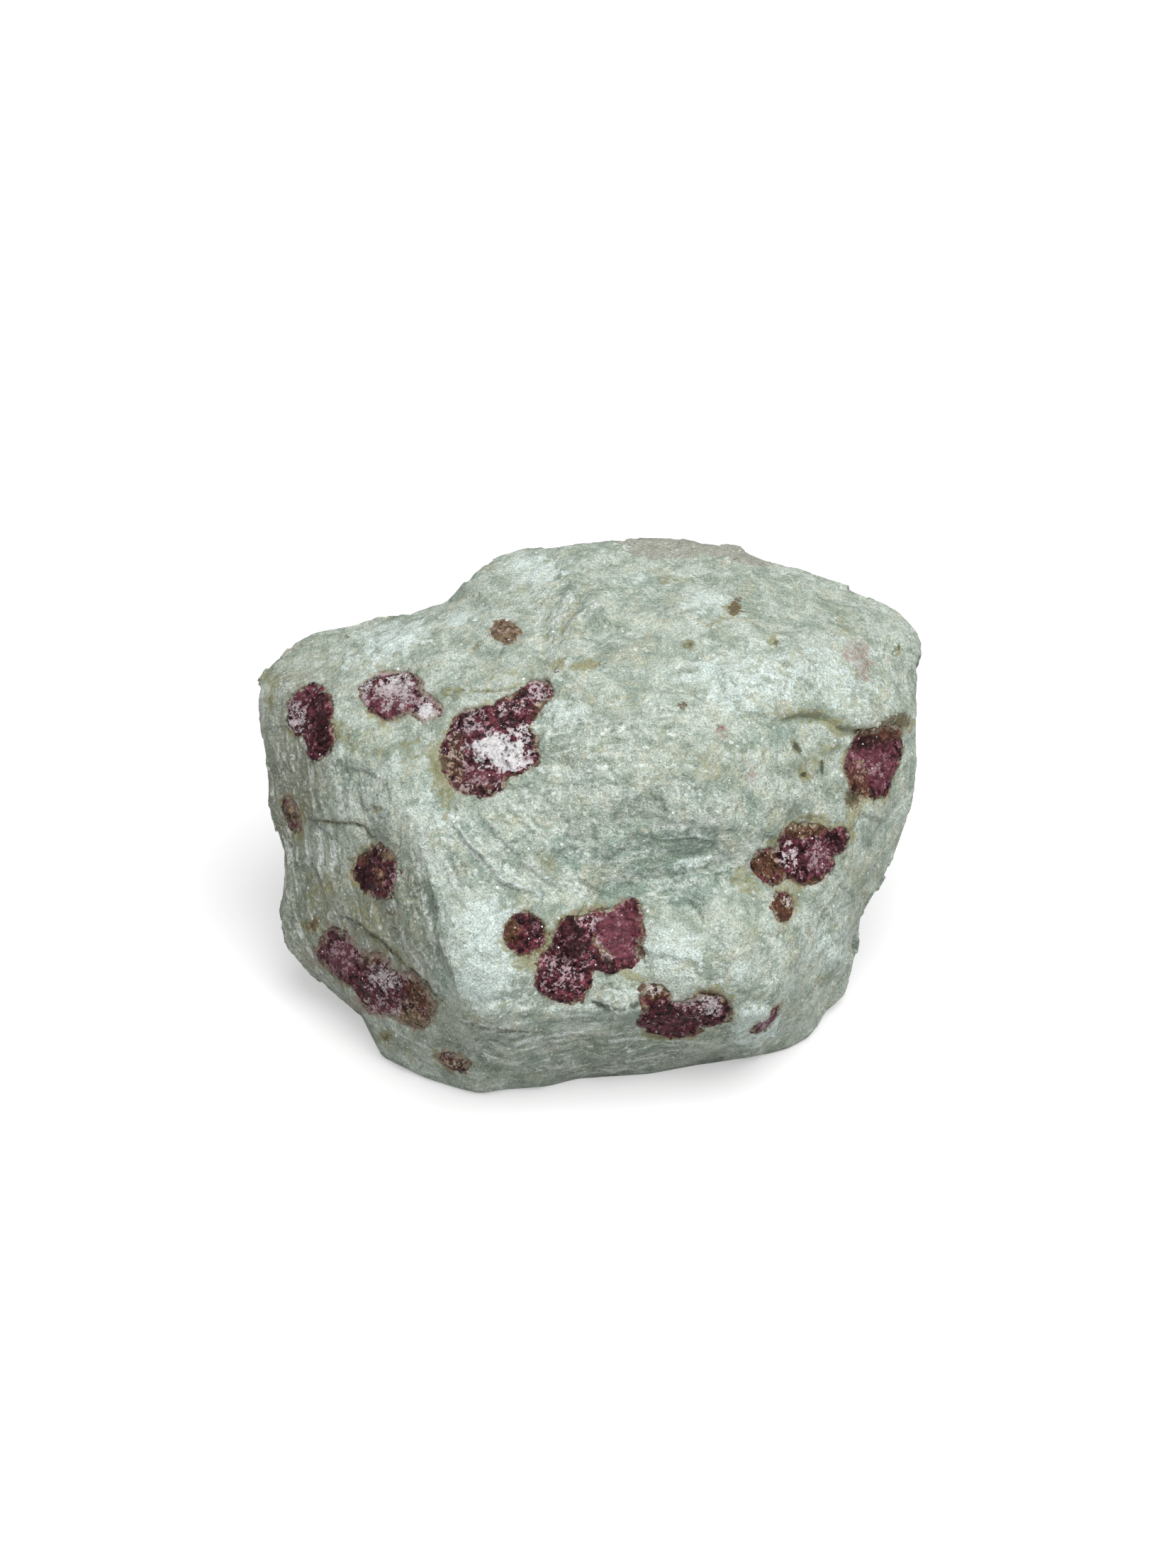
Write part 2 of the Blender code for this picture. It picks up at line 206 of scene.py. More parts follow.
def take(thing):
    """Selects this object alone and makes it the active one."""
    bpy.ops.object.select_all(action="DESELECT")
    thing.select_set(True)
    bpy.context.view_layer.objects.active = thing


def shaped(thing, kind, **settings):
    """Gives the object one modifier with these settings and applies it."""
    take(thing)
    step = thing.modifiers.new(kind.lower(), kind)
    for key, value in settings.items():
        setattr(step, key, value)
    bpy.ops.object.modifier_apply(modifier=step.name)


def places_of(thing):
    """Every point of the object's mesh, one row each."""
    flat = np.empty(len(thing.data.vertices) * 3, dtype=np.float32)
    thing.data.vertices.foreach_get("co", flat)
    return flat.reshape(-1, 3).astype(float)


def outwards_of(thing):
    """The direction that the surface faces at every point."""
    flat = np.empty(len(thing.data.vertices) * 3, dtype=np.float32)
    thing.data.vertex_normals.foreach_get("vector", flat)
    return flat.reshape(-1, 3).astype(float)


def move_to(thing, places):
    """Puts every point of the mesh at its new place."""
    thing.data.vertices.foreach_set("co", places.astype(np.float32).ravel())
    thing.data.update()


def grow(thing, millimetres):
    """Moves the surface outwards by one amount all over, or by one amount for each point."""
    amounts = np.broadcast_to(millimetres, len(thing.data.vertices))
    move_to(thing, places_of(thing) + outwards_of(thing) * amounts[:, None] * MM)


def copy_of(node, name):
    """A copy of one solid of the frame, with its loose triangles merged into one skin."""
    thing = bpy.data.objects.new(name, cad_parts[node].data.copy())
    bpy.context.scene.collection.objects.link(thing)
    thing.data.materials.clear()
    take(thing)
    bpy.ops.object.mode_set(mode="EDIT")
    bpy.ops.mesh.select_all(action="SELECT")
    bpy.ops.mesh.remove_doubles(threshold=MERGE_WITHIN)
    bpy.ops.object.mode_set(mode="OBJECT")
    return thing


def paint(thing, name, values):
    """Keeps one number for each point on the mesh, where a material can read it by name."""
    layer = thing.data.attributes.new(name, "FLOAT", "POINT")
    layer.data.foreach_set("value", np.clip(values, -1.0, 1.0).astype(np.float32))


# %% [markdown]
# ## Chance that repeats
#
# Broken stone looks random, but the notebook has to make the same rock each time. So chance comes
# from sums on whole numbers: each little cube of space throws a die that always falls the same
# way. Blended from cube to cube it gives soft swells, and cut off sharply it gives flat chips.

# %% Swells and chips
DIE = np.array([73856093, 19349663, 83492791])
ROLL_STEP = 7919
STIR = 0x45D9F3B
BITS = 0xFFFFFFFF
HALF_RANGE = 32767.5
SCATTER = 0.4
CORNERS = list(product((0, 1), repeat=3))
NEIGHBOURS = list(product((-1, 0, 1), repeat=3))


def thrown(cells, roll):
    """A number from -1 to 1 for each cube of space, always the same for the same roll."""
    mixed = (cells @ DIE + roll * ROLL_STEP) & BITS
    for _ in range(2):
        mixed = ((mixed ^ (mixed >> 16)) * STIR) & BITS
    return ((mixed ^ (mixed >> 16)) & 0xFFFF) / HALF_RANGE - 1.0


def swells(places, size, roll):
    """Soft random heights from -1 to 1 that rise and fall over this many millimetres."""
    spots = places / (size * MM)
    cells = np.floor(spots).astype(np.int64)
    parts = spots - cells
    parts = parts * parts * (3.0 - 2.0 * parts)
    heights = np.zeros(len(places))
    for corner in CORNERS:
        shares = np.where(corner, parts, 1.0 - parts).prod(axis=1)
        heights += shares * thrown(cells + corner, roll)
    return heights


def chips(places, size, roll):
    """Flat chips of this size with sharp borders, each tilted its own way."""
    spots = places / (size * MM)
    cells = np.floor(spots).astype(np.int64)
    nearest = np.full(len(places), np.inf)
    heights = np.zeros(len(places))
    for neighbour in NEIGHBOURS:
        cell = cells + neighbour
        middle = np.stack([thrown(cell, roll + axis) for axis in (1, 2, 3)], axis=1) * SCATTER + 0.5
        tilt = np.stack([thrown(cell, roll + axis) for axis in (4, 5, 6)], axis=1)
        away = spots - cell - middle
        distance = (away ** 2).sum(axis=1)
        closer = distance < nearest
        nearest = np.where(closer, distance, nearest)
        heights = np.where(closer, (tilt * away).sum(axis=1), heights)
    return heights


def laid(kind, places, size, roll, height, share=1.0):
    """Swells or chips of this size and height, or less of them where the share is under 1."""
    return share * kind(places, size, roll) * height


def ramp(values, low, high):
    """0 below low, 1 above high, and a soft rise between them."""
    share = np.clip((values - low) / (high - low), 0.0, 1.0)
    return share * share * (3.0 - 2.0 * share)


print("three throws of the die:", thrown(np.arange(9).reshape(3, 3), 1).round(2))

# %% [markdown]
# ## The rock as one even skin
#
# The frame's rock has a socket for each crystal with a narrow seam round it. On the real lump the
# rock has grown tight against its crystals. Copies of the crystals, grown by the width of the
# seam, fill the sockets, and a voxel remesh melts everything into one closed skin. The crystals'
# solids stand proud of the rock, so each filling is also sunk until its face is level with it.

# %% Fill the sockets and remesh
SEAM_FILL = 0.40
PROUD = 0.45
NET = 0.21
ROUNDING = 12
FULLNESS = 0.04
CRYSTAL_NODES = [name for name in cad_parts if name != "matrix"]


def facing_of(node):
    """The direction that a crystal's broken face looks in, from its faces that point away."""
    low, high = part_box(node)
    from_heart = ((low + high) / 2.0 - HEART).normalized()
    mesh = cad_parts[node].data
    outer = [face.normal * face.area for face in mesh.polygons if face.normal.dot(from_heart) > 0.5]
    return sum(outer, Vector()).normalized()


rock = copy_of("matrix", "rock")
fillings = []
for node in CRYSTAL_NODES:
    filling = copy_of(node, "filling")
    grow(filling, SEAM_FILL)
    sunk = places_of(filling) - np.array(facing_of(node)) * (SEAM_FILL + PROUD) * MM
    move_to(filling, sunk)
    fillings.append(filling)
take(rock)
for filling in fillings:
    filling.select_set(True)
bpy.ops.object.join()
shaped(rock, "REMESH", mode="VOXEL", voxel_size=NET * MM)
shaped(rock, "SMOOTH", factor=0.5, iterations=ROUNDING)
grow(rock, FULLNESS)
print("the skin has", len(rock.data.vertices), "points")

# %% [markdown]
# ## Where the crystals are
#
# To sink the skin under a crystal, and to stain the rock beside one, each point of the skin must
# know how far away the nearest crystal is. A tree of all the crystals' faces answers that fast.
# A point lies over a crystal where a line drawn inwards from just above it soon meets one.

# %% Distance to the crystals
EDGE_ROUNDS = 12
CORE_ROUNDS = 3
SOFT_ROUNDS = 50
CLOSE = 0.9
COVERED = 0.42
FURTHEST = 3.0
# Size, roll, height
EDGE_WAVES = (1.2, 21, 0.24)
EDGE_NICKS = (0.45, 22, 0.18)
SEAT_EDGE = (0.46, 0.58)


def tree_of(meshes):
    """One search tree of the faces of several meshes."""
    corners, faces = [], []
    for mesh in meshes:
        start = len(corners)
        corners += [vert.co.copy() for vert in mesh.vertices]
        faces += [[start + corner for corner in face.vertices] for face in mesh.polygons]
    return BVHTree.FromPolygons(corners, faces)


def lies_over(tree, places, outwards, above, below):
    """1 for each point that has the tree's surface within these millimetres above or below it."""
    found = np.zeros(len(places))
    for index, (place, outward) in enumerate(zip(places, outwards)):
        start = Vector(place + outward * above * MM)
        found[index] = tree.ray_cast(start, Vector(-outward), (above + below) * MM)[0] is not None
    return found


def from_crystals(places):
    """How many millimetres each point is from the nearest crystal, up to 3."""
    reach = FURTHEST * MM
    return np.array([(crystal_tree.find_nearest(Vector(place), reach)[3] or reach) / MM for place in places])


def evened(thing, values, rounds):
    """The values with each one moved towards those of its neighbours on the mesh."""
    ends = np.empty(len(thing.data.edges) * 2, dtype=np.int32)
    thing.data.edges.foreach_get("vertices", ends)
    one, other = ends.reshape(-1, 2).T
    count = np.bincount(ends, minlength=len(values))
    for _ in range(rounds):
        sums = np.bincount(one, values[other], len(values)) + np.bincount(other, values[one], len(values))
        values = (values + sums / count) / 2.0
    return values


crystal_tree = tree_of([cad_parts[name].data for name in CRYSTAL_NODES])
places = places_of(rock)
over = lies_over(crystal_tree, places, outwards_of(rock), CLOSE, CLOSE)
# Evening eats narrow crystals away, so their cores are kept
inside = np.maximum(evened(rock, over, EDGE_ROUNDS), ramp(evened(rock, over, CORE_ROUNDS), 0.6, 1.0))
well_inside = evened(rock, over, SOFT_ROUNDS)
ragged_edge = inside + laid(swells, places, *EDGE_WAVES) + laid(swells, places, *EDGE_NICKS)
seat = ramp(ragged_edge, *SEAT_EDGE)
beside = np.flatnonzero((seat > 0.0) & (inside < 0.6))
seat[beside] *= ramp(-from_crystals(places[beside]), -COVERED, -COVERED * 0.7)
print("points over crystals:", int((seat > 0.5).sum()))

# %% [markdown]
# ## Marks on the faces
#
# Someone who knows this lump would miss its ledges, its two grooves and the flake at its foot, so
# these are placed one by one. A mark is a line of (across, up) points. A groove dips along its
# line, a ridge rises along it, and a ledge steps up on the left of its line as one goes along it.

# %% Lines on the front
LEFT_ARRIS = [(-18.6, 4.6), (-16.9, 1.0), (-15.6, -0.5), (-14.7, -3.7), (-13.4, -7.6), (-13.0, -10.2),
              (-12.6, -12.6), (-11.1, -16.9)]
FOOT_ARRIS = [(-10.2, -18.0), (-6.5, -17.4), (-3.0, -17.6), (0.8, -17.3), (3.2, -17.6), (5.2, -17.3)]
FLAKE_EDGE = [(0.3, -16.3), (0.8, -15.7), (2.2, -15.4), (4.0, -15.6), (5.3, -16.3)]
FLAKE_FOOT = [(0.1, -16.6), (1.4, -17.2), (3.0, -17.35), (4.6, -17.1), (5.4, -16.5)]
CREASE = [(-23.0, -8.5), (-20.6, -9.8), (-19.0, -11.1), (-17.3, -12.6), (-15.6, -14.3), (-13.9, -16.0),
          (-12.3, -17.7)]
SHOULDER_GROOVE = [(-0.1, 20.5), (-1.4, 18.8), (-2.2, 17.6), (-3.2, 15.2)]
SHOULDER_GROOVE_LEFT = [(-3.6, 19.1), (-4.0, 15.2), (-4.4, 13.6)]
TOP_LEDGE = [(-4.8, 12.9), (-2.2, 13.1), (0.0, 13.2), (3.9, 13.0), (8.4, 13.1)]
SHOULDER_LEDGE = [(-13.8, 10.6), (-11.0, 11.6), (-8.3, 11.4), (-5.6, 11.8)]
HUMP = [(16.4, 8.6), (19.4, 9.3), (21.7, 9.1), (23.2, 8.1), (25.3, 7.7), (27.8, 8.8)]
LEFT_LEDGE = [(-25.9, -0.3), (-22.6, -0.5), (-20.2, -0.9), (-19.2, -2.4)]
LEFT_CREASE = [(-24.8, -4.5), (-24.1, -6.4), (-23.0, -8.5)]
FRONT_LEDGE = [(-12.6, -0.2), (-11.2, -2.1), (-9.3, -4.2), (-7.7, -5.9), (-5.2, -6.9), (-3.8, -7.5)]
FRONT_LEDGE_RIGHT = [(-9.1, -0.5), (-8.1, -1.9), (-4.6, -5.2), (-2.8, -6.6)]
SWELLING_EDGE = [(-14.0, -6.0), (-13.6, -8.5), (-13.4, -10.2), (-12.8, -12.6), (-11.9, -15.0),
                 (-11.7, -18.1)]
SWELLING_LENS = [(-10.2, -18.1), (-9.0, -17.1), (-6.7, -16.7)]
SWELLING_CRACK = [(-11.4, -18.7), (-9.5, -19.1), (-8.3, -19.4), (-7.1, -19.2)]
FOOT_LEDGE = [(-11.8, -20.0), (-10.4, -21.4), (-8.3, -21.3), (-5.2, -20.6)]
FOOT_LEDGE_UPPER = [(-4.5, -18.5), (-1.2, -18.3), (1.9, -18.0), (4.8, -18.5)]
FOOT_LEDGE_LOWER = [(-8.4, -22.4), (-4.5, -22.4), (0.0, -21.7), (4.5, -21.6)]
HOLLOW_EDGE = [(5.0, -5.9), (8.6, -5.4), (11.1, -4.8), (14.0, -3.7)]
HOLLOW_EDGE_UPPER = [(6.0, -2.3), (9.8, -1.9), (13.1, -2.7)]
HOLLOW_EDGE_LOWER = [(3.2, -8.9), (7.1, -7.9), (10.9, -7.1)]
TEAL_SEAM = [(14.8, 2.4), (14.9, -0.6)]
RIGHT_CRACK = [(21.2, 5.1), (21.2, 4.2), (21.3, 3.3)]
print("the crease runs through", len(CREASE), "points")

# %% What the lines do
# Line, half width, depth
GROOVES = [
    (SHOULDER_GROOVE, 0.55, 0.42),
    (SHOULDER_GROOVE_LEFT, 0.40, 0.30),
    (HUMP, 0.55, 0.30),
    (LEFT_LEDGE, 0.22, 0.16),
    (SWELLING_CRACK, 0.16, 0.30),
    (SHOULDER_LEDGE, 0.30, 0.20),
    (HOLLOW_EDGE, 0.30, 0.18),
    (RIGHT_CRACK, 0.14, 0.30),
    (TEAL_SEAM, 0.20, 0.10),
    (CREASE, 0.20, 0.34),
    (LEFT_CREASE, 0.25, 0.20),
    (FLAKE_EDGE, 0.16, 0.25),
    (FLAKE_FOOT, 0.20, 0.40),
]
# Line, half width, height
RIDGES = [
    (LEFT_ARRIS, 0.55, 0.34),
    (FOOT_ARRIS, 0.40, 0.30),
    (TOP_LEDGE, 0.35, 0.12),
    (FRONT_LEDGE, 0.30, 0.12),
]
# Line, height of the step, how far the raised and lowered sides reach
LEDGES = [
    (TOP_LEDGE, -0.22, 1.2),
    (HUMP, 0.36, 1.8),
    (SHOULDER_LEDGE, -0.20, 1.2),
    (LEFT_LEDGE, 0.16, 1.6),
    (LEFT_CREASE, 0.26, 1.8),
    (CREASE, 0.34, 1.6),
    (FRONT_LEDGE, 0.30, 1.2),
    (FRONT_LEDGE_RIGHT, 0.26, 1.0),
    (SWELLING_EDGE, 0.26, 1.8),
    (SWELLING_LENS, -0.14, 0.8),
    (FOOT_LEDGE, 0.16, 1.0),
    (FOOT_LEDGE_UPPER, 0.18, 1.2),
    (FOOT_LEDGE_LOWER, 0.12, 0.9),
    (HOLLOW_EDGE_UPPER, 0.14, 1.2),
    (HOLLOW_EDGE, -0.14, 1.2),
    (HOLLOW_EDGE_LOWER, 0.14, 1.0),
]
print(len(GROOVES), "grooves,", len(RIDGES), "ridges and", len(LEDGES), "ledges")

# %% Bulges and pits
# Across, up, half width, half height, turn in degrees, how far it stands out, width of its edge
BULGES = [
    (3.1, -16.3, 2.3, 0.95, -3, 1.10, 0.14),
    (2.2, -16.9, 1.6, 0.30, 0, 0.20, 0.30),
    (15.0, -18.9, 2.5, 2.3, 20, 0.60, 0.35),
    (9.3, -4.3, 2.3, 0.7, 12, 0.28, 0.40),
    (-13.6, 3.6, 1.5, 2.0, 20, 0.16, 0.30),
    (-17.4, 5.2, 0.8, 1.6, 10, 0.18, 0.30),
    (8.4, 3.2, 3.0, 1.2, 10, 0.14, 0.30),
    (-4.0, 1.4, 2.4, 1.0, 30, 0.16, 0.30),
    (5.8, -11.2, 2.2, 1.4, -20, 0.16, 0.30),
    (11.5, -12.6, 2.4, 1.2, 15, 0.16, 0.30),
    (-8.4, -17.5, 1.8, 0.7, 20, 0.24, 0.30),
    (23.2, -12.6, 1.6, 1.2, 0, 0.25, 0.55),
    (9.1, 15.7, 0.45, 0.45, 0, -0.45, 0.55),
    (17.0, 15.9, 0.55, 0.40, -20, -0.40, 0.55),
    (28.2, 15.0, 0.30, 0.60, 0, -0.30, 0.55),
    (19.0, 6.1, 0.45, 0.60, 30, -0.35, 0.55),
    (19.5, 3.7, 0.35, 0.30, 0, -0.35, 0.55),
    (-19.0, 0.7, 0.55, 0.30, 0, -0.20, 0.55),
    (-10.2, 15.4, 0.30, 0.45, -30, -0.25, 0.55),
]
print(len(BULGES), "bulges and pits")

# %% Measuring from a line or a patch
OUT_OF_VIEW, IN_VIEW = -0.05, 0.15


def from_line(line, across, up):
    """How far each point is from the line, above 0 on its left, and a share that fades at its ends."""
    nearest = np.full(len(across), np.inf)
    signed = np.zeros(len(across))
    run = np.zeros(len(across))
    for index, (start, end) in enumerate(zip(line, line[1:])):
        step = np.subtract(end, start)
        offset = np.stack([across - start[0], up - start[1]], axis=1)
        share = np.clip(offset @ step / (step @ step), 0.0, 1.0)
        away = offset - share[:, None] * step
        distance = np.hypot(*away.T)
        left = np.sign(step[0] * offset[:, 1] - step[1] * offset[:, 0])
        closer = distance < nearest
        nearest = np.where(closer, distance, nearest)
        signed = np.where(closer, distance * left, signed)
        run = np.where(closer, (index + share) / (len(line) - 1), run)
    return signed, 1.0 - (2.0 * run - 1.0) ** 6


def from_patch(patch, across, up):
    """0 in the middle of an oval patch, 1 at its edge and more outside it."""
    middle_across, middle_up, half_wide, half_high, turn = patch[:5]
    cosine, sine = math.cos(math.radians(turn)), math.sin(math.radians(turn))
    right = (across - middle_across) * cosine + (up - middle_up) * sine
    higher = (up - middle_up) * cosine - (across - middle_across) * sine
    return np.hypot(right / half_wide, higher / half_high)


def towards_eye(places, outwards):
    """1 where the surface looks straight at the eye, 0 along the outline and -1 where it looks away."""
    line = np.array(EYE) - places
    line /= np.linalg.norm(line, axis=1)[:, None]
    return (line * outwards).sum(axis=1)


def in_view(places, outwards):
    """1 where the surface faces the eye and 0 where it is turned away."""
    return ramp(towards_eye(places, outwards), OUT_OF_VIEW, IN_VIEW)


print("of the skin,", round(100 * in_view(places, outwards_of(rock)).mean()), "% is on the front")


# %% [markdown]
# ## Fibres
#
# The rock is partly fibrous, like wood: on the left face the fibres run down, on the foot they
# run along it in arcs, and in the hollow they draw together to the right. A fibre is a random
# speck drawn out along its direction, so the skin first needs that direction at every point. It
# is blended from a few places where the run of the fibres was read.

# %% The run of the fibres
# Across, up, and the fibre's angle from the across direction, in degrees
FIBRE_RUNS = [
    (-27, 8, 95), (-25, -2, 98), (-24, -8, 120), (-21, -12, 130), (-17, -4, 105), (-16, -9, 115),
    (-15, 12, 25), (-22, 14, 20), (-8, 18, 60), (-3, 18, 75), (2, 20, 60), (10, 19, 15), (22, 16, -20),
    (-10, 0, 125), (-6, -3, 140), (-2, -5, 150), (-7, 8, 100), (0, 6, 8), (8, 8, 5), (3, 1, 12),
    (12, 3, -10), (15, 0, -80), (6, -3, 5), (12, -3, -10), (5, -7, 18), (12, -5, 25), (-8, -11, 60),
    (-10, -16, 30), (8, -11, 20), (14, -10, -40), (18, -13, -60), (24, -4, 65), (22, -10, 60), (26, 2, 80),
    (21, 5, -70), (-10, -21, -20), (-5, -20, 8), (0, -19.5, 5), (6, -21, 4), (12, -20, 10), (18, -18, 35),
    (1, -13, 10),
]
FIBRE_BLEND = 3.0
# Across, up, half width, half height, turn, where the rock is mostly fibres
FIBROUS = [
    (-24, -4, 7, 15, 12), (-15.5, -10, 3, 9, 14), (0, -21, 16, 3.4, 0), (8, -4, 8, 4, 8), (0, 6, 9, 4.5, 0),
    (-8.5, -3, 5, 5, -35), (-2.5, 18, 3, 4, 0),
]


def fibre_ways(places, outwards):
    """The direction of the fibres at each point, lying in the surface."""
    across, up, _ = sight(places)
    cosine = np.zeros(len(places))
    sine = np.zeros(len(places))
    for run_across, run_up, angle in FIBRE_RUNS:
        weight = 1.0 / ((across - run_across) ** 2 + (up - run_up) ** 2 + FIBRE_BLEND) ** 2
        cosine += weight * math.cos(math.radians(2 * angle))
        sine += weight * math.sin(math.radians(2 * angle))
    angle = np.arctan2(sine, cosine) / 2.0
    ways = np.cos(angle)[:, None] * np.array(ACROSS) + np.sin(angle)[:, None] * np.array(UP)
    ways -= (ways * outwards).sum(axis=1)[:, None] * outwards
    return ways / np.maximum(np.linalg.norm(ways, axis=1), 0.2)[:, None]


def fibrous(places):
    """How fibrous the rock is at each point, from 0.3 where it is sugary to 1."""
    across, up, _ = sight(places)
    masks = [ramp(1.4 - from_patch(patch, across, up), 0.0, 0.9) for patch in FIBROUS]
    return 0.3 + 0.7 * np.max(masks, axis=0)


def combed(places, ways, size, length, roll, steps=15):
    """Random specks of this size drawn out along the fibres, about -1 to 1."""
    drawn = np.zeros(len(places))
    for share in np.linspace(-0.5, 0.5, steps):
        drawn += swells(places + ways * (share * length * MM), size, roll)
    return drawn / drawn.std() / 2.5


print(len(FIBRE_RUNS), "places where the run of the fibres was read")

# %% [markdown]
# ## Breaking the skin
#
# All the relief is added up as one height for each point and laid on at once, so that no step
# disturbs the next. Broad chips come first, larger on the sides that have no marks of their own,
# then small chips with sharp borders, splinters and fibres drawn out along the grain, sugary
# grains, and the marks. Under a crystal the skin sinks out of sight.

# %% Heights of the relief
# Size, roll, height
FACETS = (9.0, 12, 0.42)
BROAD_CHIPS = (5.0, 11, 0.28)
SMALL_CHIPS = (1.9, 31, 0.19)
SWELL = (3.2, 51, 0.14)
RIPPLE = (1.1, 52, 0.07)
GRAIN = (0.5, 53, 0.045)
WANDER = (1.3, 61, 0.18)
# Size, length along the grain, roll
SPLINTERS = (0.75, 6.0, 55)
FIBRES = (0.30, 4.5, 54)
SPLINTER_HEIGHT = 0.16
CREST = 0.35
FIBRE_HEIGHT = 0.07
FACET_DROP = 0.12
RUBBED, RUBBED_BAND = 0.55, 0.3
SHARPNESS = 0.14
REST_BAND = 1.2
HIGHEST_OVER_CRYSTAL = 0.35


def relief(places, outwards):
    """How far the broken surface stands out at each point, in millimetres, before the marks."""
    ways = fibre_ways(places, outwards)
    unseen = 1.0 - in_view(places, outwards)
    height = laid(chips, places, *BROAD_CHIPS) * (1.0 + unseen)
    height += (laid(chips, places, *FACETS) - FACET_DROP) * unseen
    height += laid(swells, places, *SWELL)
    # The outline of the real lump is rubbed smoother than its faces
    fresh = 1.0 - RUBBED * np.exp(-(towards_eye(places, outwards) / RUBBED_BAND) ** 2)
    crests = CREST - np.abs(combed(places, ways, *SPLINTERS, steps=9))
    height += fresh * np.maximum(crests, -CREST) * SPLINTER_HEIGHT * fibrous(places)
    height += laid(chips, places, *SMALL_CHIPS, share=fresh)
    height += laid(swells, places, *RIPPLE, share=fresh)
    height += laid(swells, places, *GRAIN)
    height += combed(places, ways, *FIBRES) * FIBRE_HEIGHT * fibrous(places)
    return height


def marks(places, outwards):
    """How far the grooves, ledges, bulges and pits move each point, in millimetres."""
    across, up, _ = sight(places)
    height = np.zeros(len(places))
    wander = laid(swells, places, *WANDER)
    for line, half_width, depth in GROOVES:
        away, ends = from_line(line, across, up)
        height -= depth * ends * np.exp(-((away + wander) / half_width) ** 2)
    for line, step, reach in LEDGES:
        away, ends = from_line(line, across, up)
        away = away + wander
        height += step * ends * np.tanh(away / SHARPNESS) * np.exp(-np.abs(away) / reach)
    for line, half_width, crest in RIDGES:
        away, ends = from_line(line, across, up)
        height += crest * ends * np.exp(-np.abs(away + wander) / half_width)
    for patch in BULGES:
        height += patch[5] * ramp(1.0 - from_patch(patch, across, up) + wander * 0.6, 0.0, patch[6])
    return height * in_view(places, outwards)


# %% Lay the relief on
places, outwards = places_of(rock), outwards_of(rock)
resting = ramp(places[:, 2] / MM, 0.1, REST_BAND)
heights = (relief(places, outwards) + marks(places, outwards)) * resting
# A crystal has to reach its own face, so nothing rises far over one
heights = np.minimum(heights, HIGHEST_OVER_CRYSTAL + 2.0 * (1.0 - ramp(inside, 0.05, 0.35)))
grow(rock, heights)
print("relief from", round(heights.min(), 2), "to", round(heights.max(), 2), "mm")

# %% [markdown]
# ## Crystals
#
# Each crystal is a mass of small grains that was broken through level with the rock, so it has no
# smooth outside of its own. The frame's solid is grown under the rock's edge and remeshed finely,
# and whatever stands above the broken face is pressed down to it. Small tilted chips roughen it.
# Two masks are painted on the way: the rim, where stained rock is mixed in, and the veil, where
# crystal and rock blend without an edge.

# %% One granular piece for each crystal
CRYSTAL_GROW = 0.50
CRYSTAL_NET = 0.16
# Size, roll, height
CRYSTAL_CHIPS = (0.85, 71, 0.22)
CRYSTAL_GRAINS = (0.34, 72, 0.07)
# How well a crystal covers the place, and how high its face lies there
LEVELS = ((0.25, 0.46, 0.72), (-0.32, -0.01, 0.04))
# Across, up, half width, half height, turn, how far crystal and rock blend there
SOFT = [
    (-19, -15, 8.5, 6.5, -35, 1), (-17, 11, 4.5, 4, 0, 0.8), (26.8, 5.6, 3, 3.4, 0, 0.5),
    (15.9, -18.4, 1.6, 2.4, 0, 0.5), (18.6, -3.6, 4.6, 3.4, 0, 0.4), (9.6, -17.6, 2.4, 2.4, 0, 0.5),
    (-12.1, -22.3, 2.4, 1.4, 0, 0.8), (-26.7, 0.3, 1.4, 2, 0, 0.8), (-7.5, 16.8, 2.4, 2.4, 0, 0.4),
]


def blotches(patches, across, up, rough):
    """As strong as each patch says inside it, with a soft rough edge."""
    found = np.zeros(len(across))
    for patch in patches:
        found = np.maximum(found, patch[5] * ramp(1.3 - from_patch(patch, across, up) + rough, 0.0, 0.9))
    return found


def broken_level(thing, surface):
    """Presses what stands above the rock's face down to it, and tells where its rim and veil are."""
    places = places_of(thing)
    roughness = laid(chips, places, *CRYSTAL_CHIPS) + laid(swells, places, *CRYSTAL_GRAINS)
    hits = [surface.find_nearest(Vector(place)) for place in places]
    near = np.array([hit[0] for hit in hits])
    corner = np.array([rock.data.polygons[hit[2]].vertices[0] for hit in hits])
    share = ragged_edge[corner]
    level = np.interp(share, *LEVELS) + roughness * ramp(share, 0.45, 0.8)
    above = ((places - near) * outwards[corner]).sum(axis=1) / MM
    places -= outwards[corner] * np.maximum(above - level, 0.0)[:, None] * MM
    places[:, 2] = np.maximum(places[:, 2], 0.1 * MM)
    move_to(thing, places)
    across, up, _ = sight(places)
    veil = blotches(SOFT, across, up, 0.0) * (1.0 - ramp(well_inside[corner], 0.45, 0.95))
    return 1.0 - ramp(share, 0.50, 0.74), veil


# %% Make the crystals
rock_surface = BVHTree.FromObject(rock, bpy.context.evaluated_depsgraph_get())
crystals = {}
for node in CRYSTAL_NODES:
    crystal = copy_of(node, node.replace("tourmaline", "crystal"))
    grow(crystal, CRYSTAL_GROW)
    shaped(crystal, "REMESH", mode="VOXEL", voxel_size=CRYSTAL_NET * MM)
    rim, veil = broken_level(crystal, rock_surface)
    paint(crystal, "rim", rim)
    paint(crystal, "veil", veil)
    crystal.data.shade_smooth()
    crystals[node] = crystal
print(len(crystals), "crystals,", sum(len(thing.data.polygons) for thing in crystals.values()), "faces")

# %% Sink the rock where a crystal covers it
SEAT_DEPTH = 1.0
PIECE_ABOVE, PIECE_BELOW = 0.5, 0.3

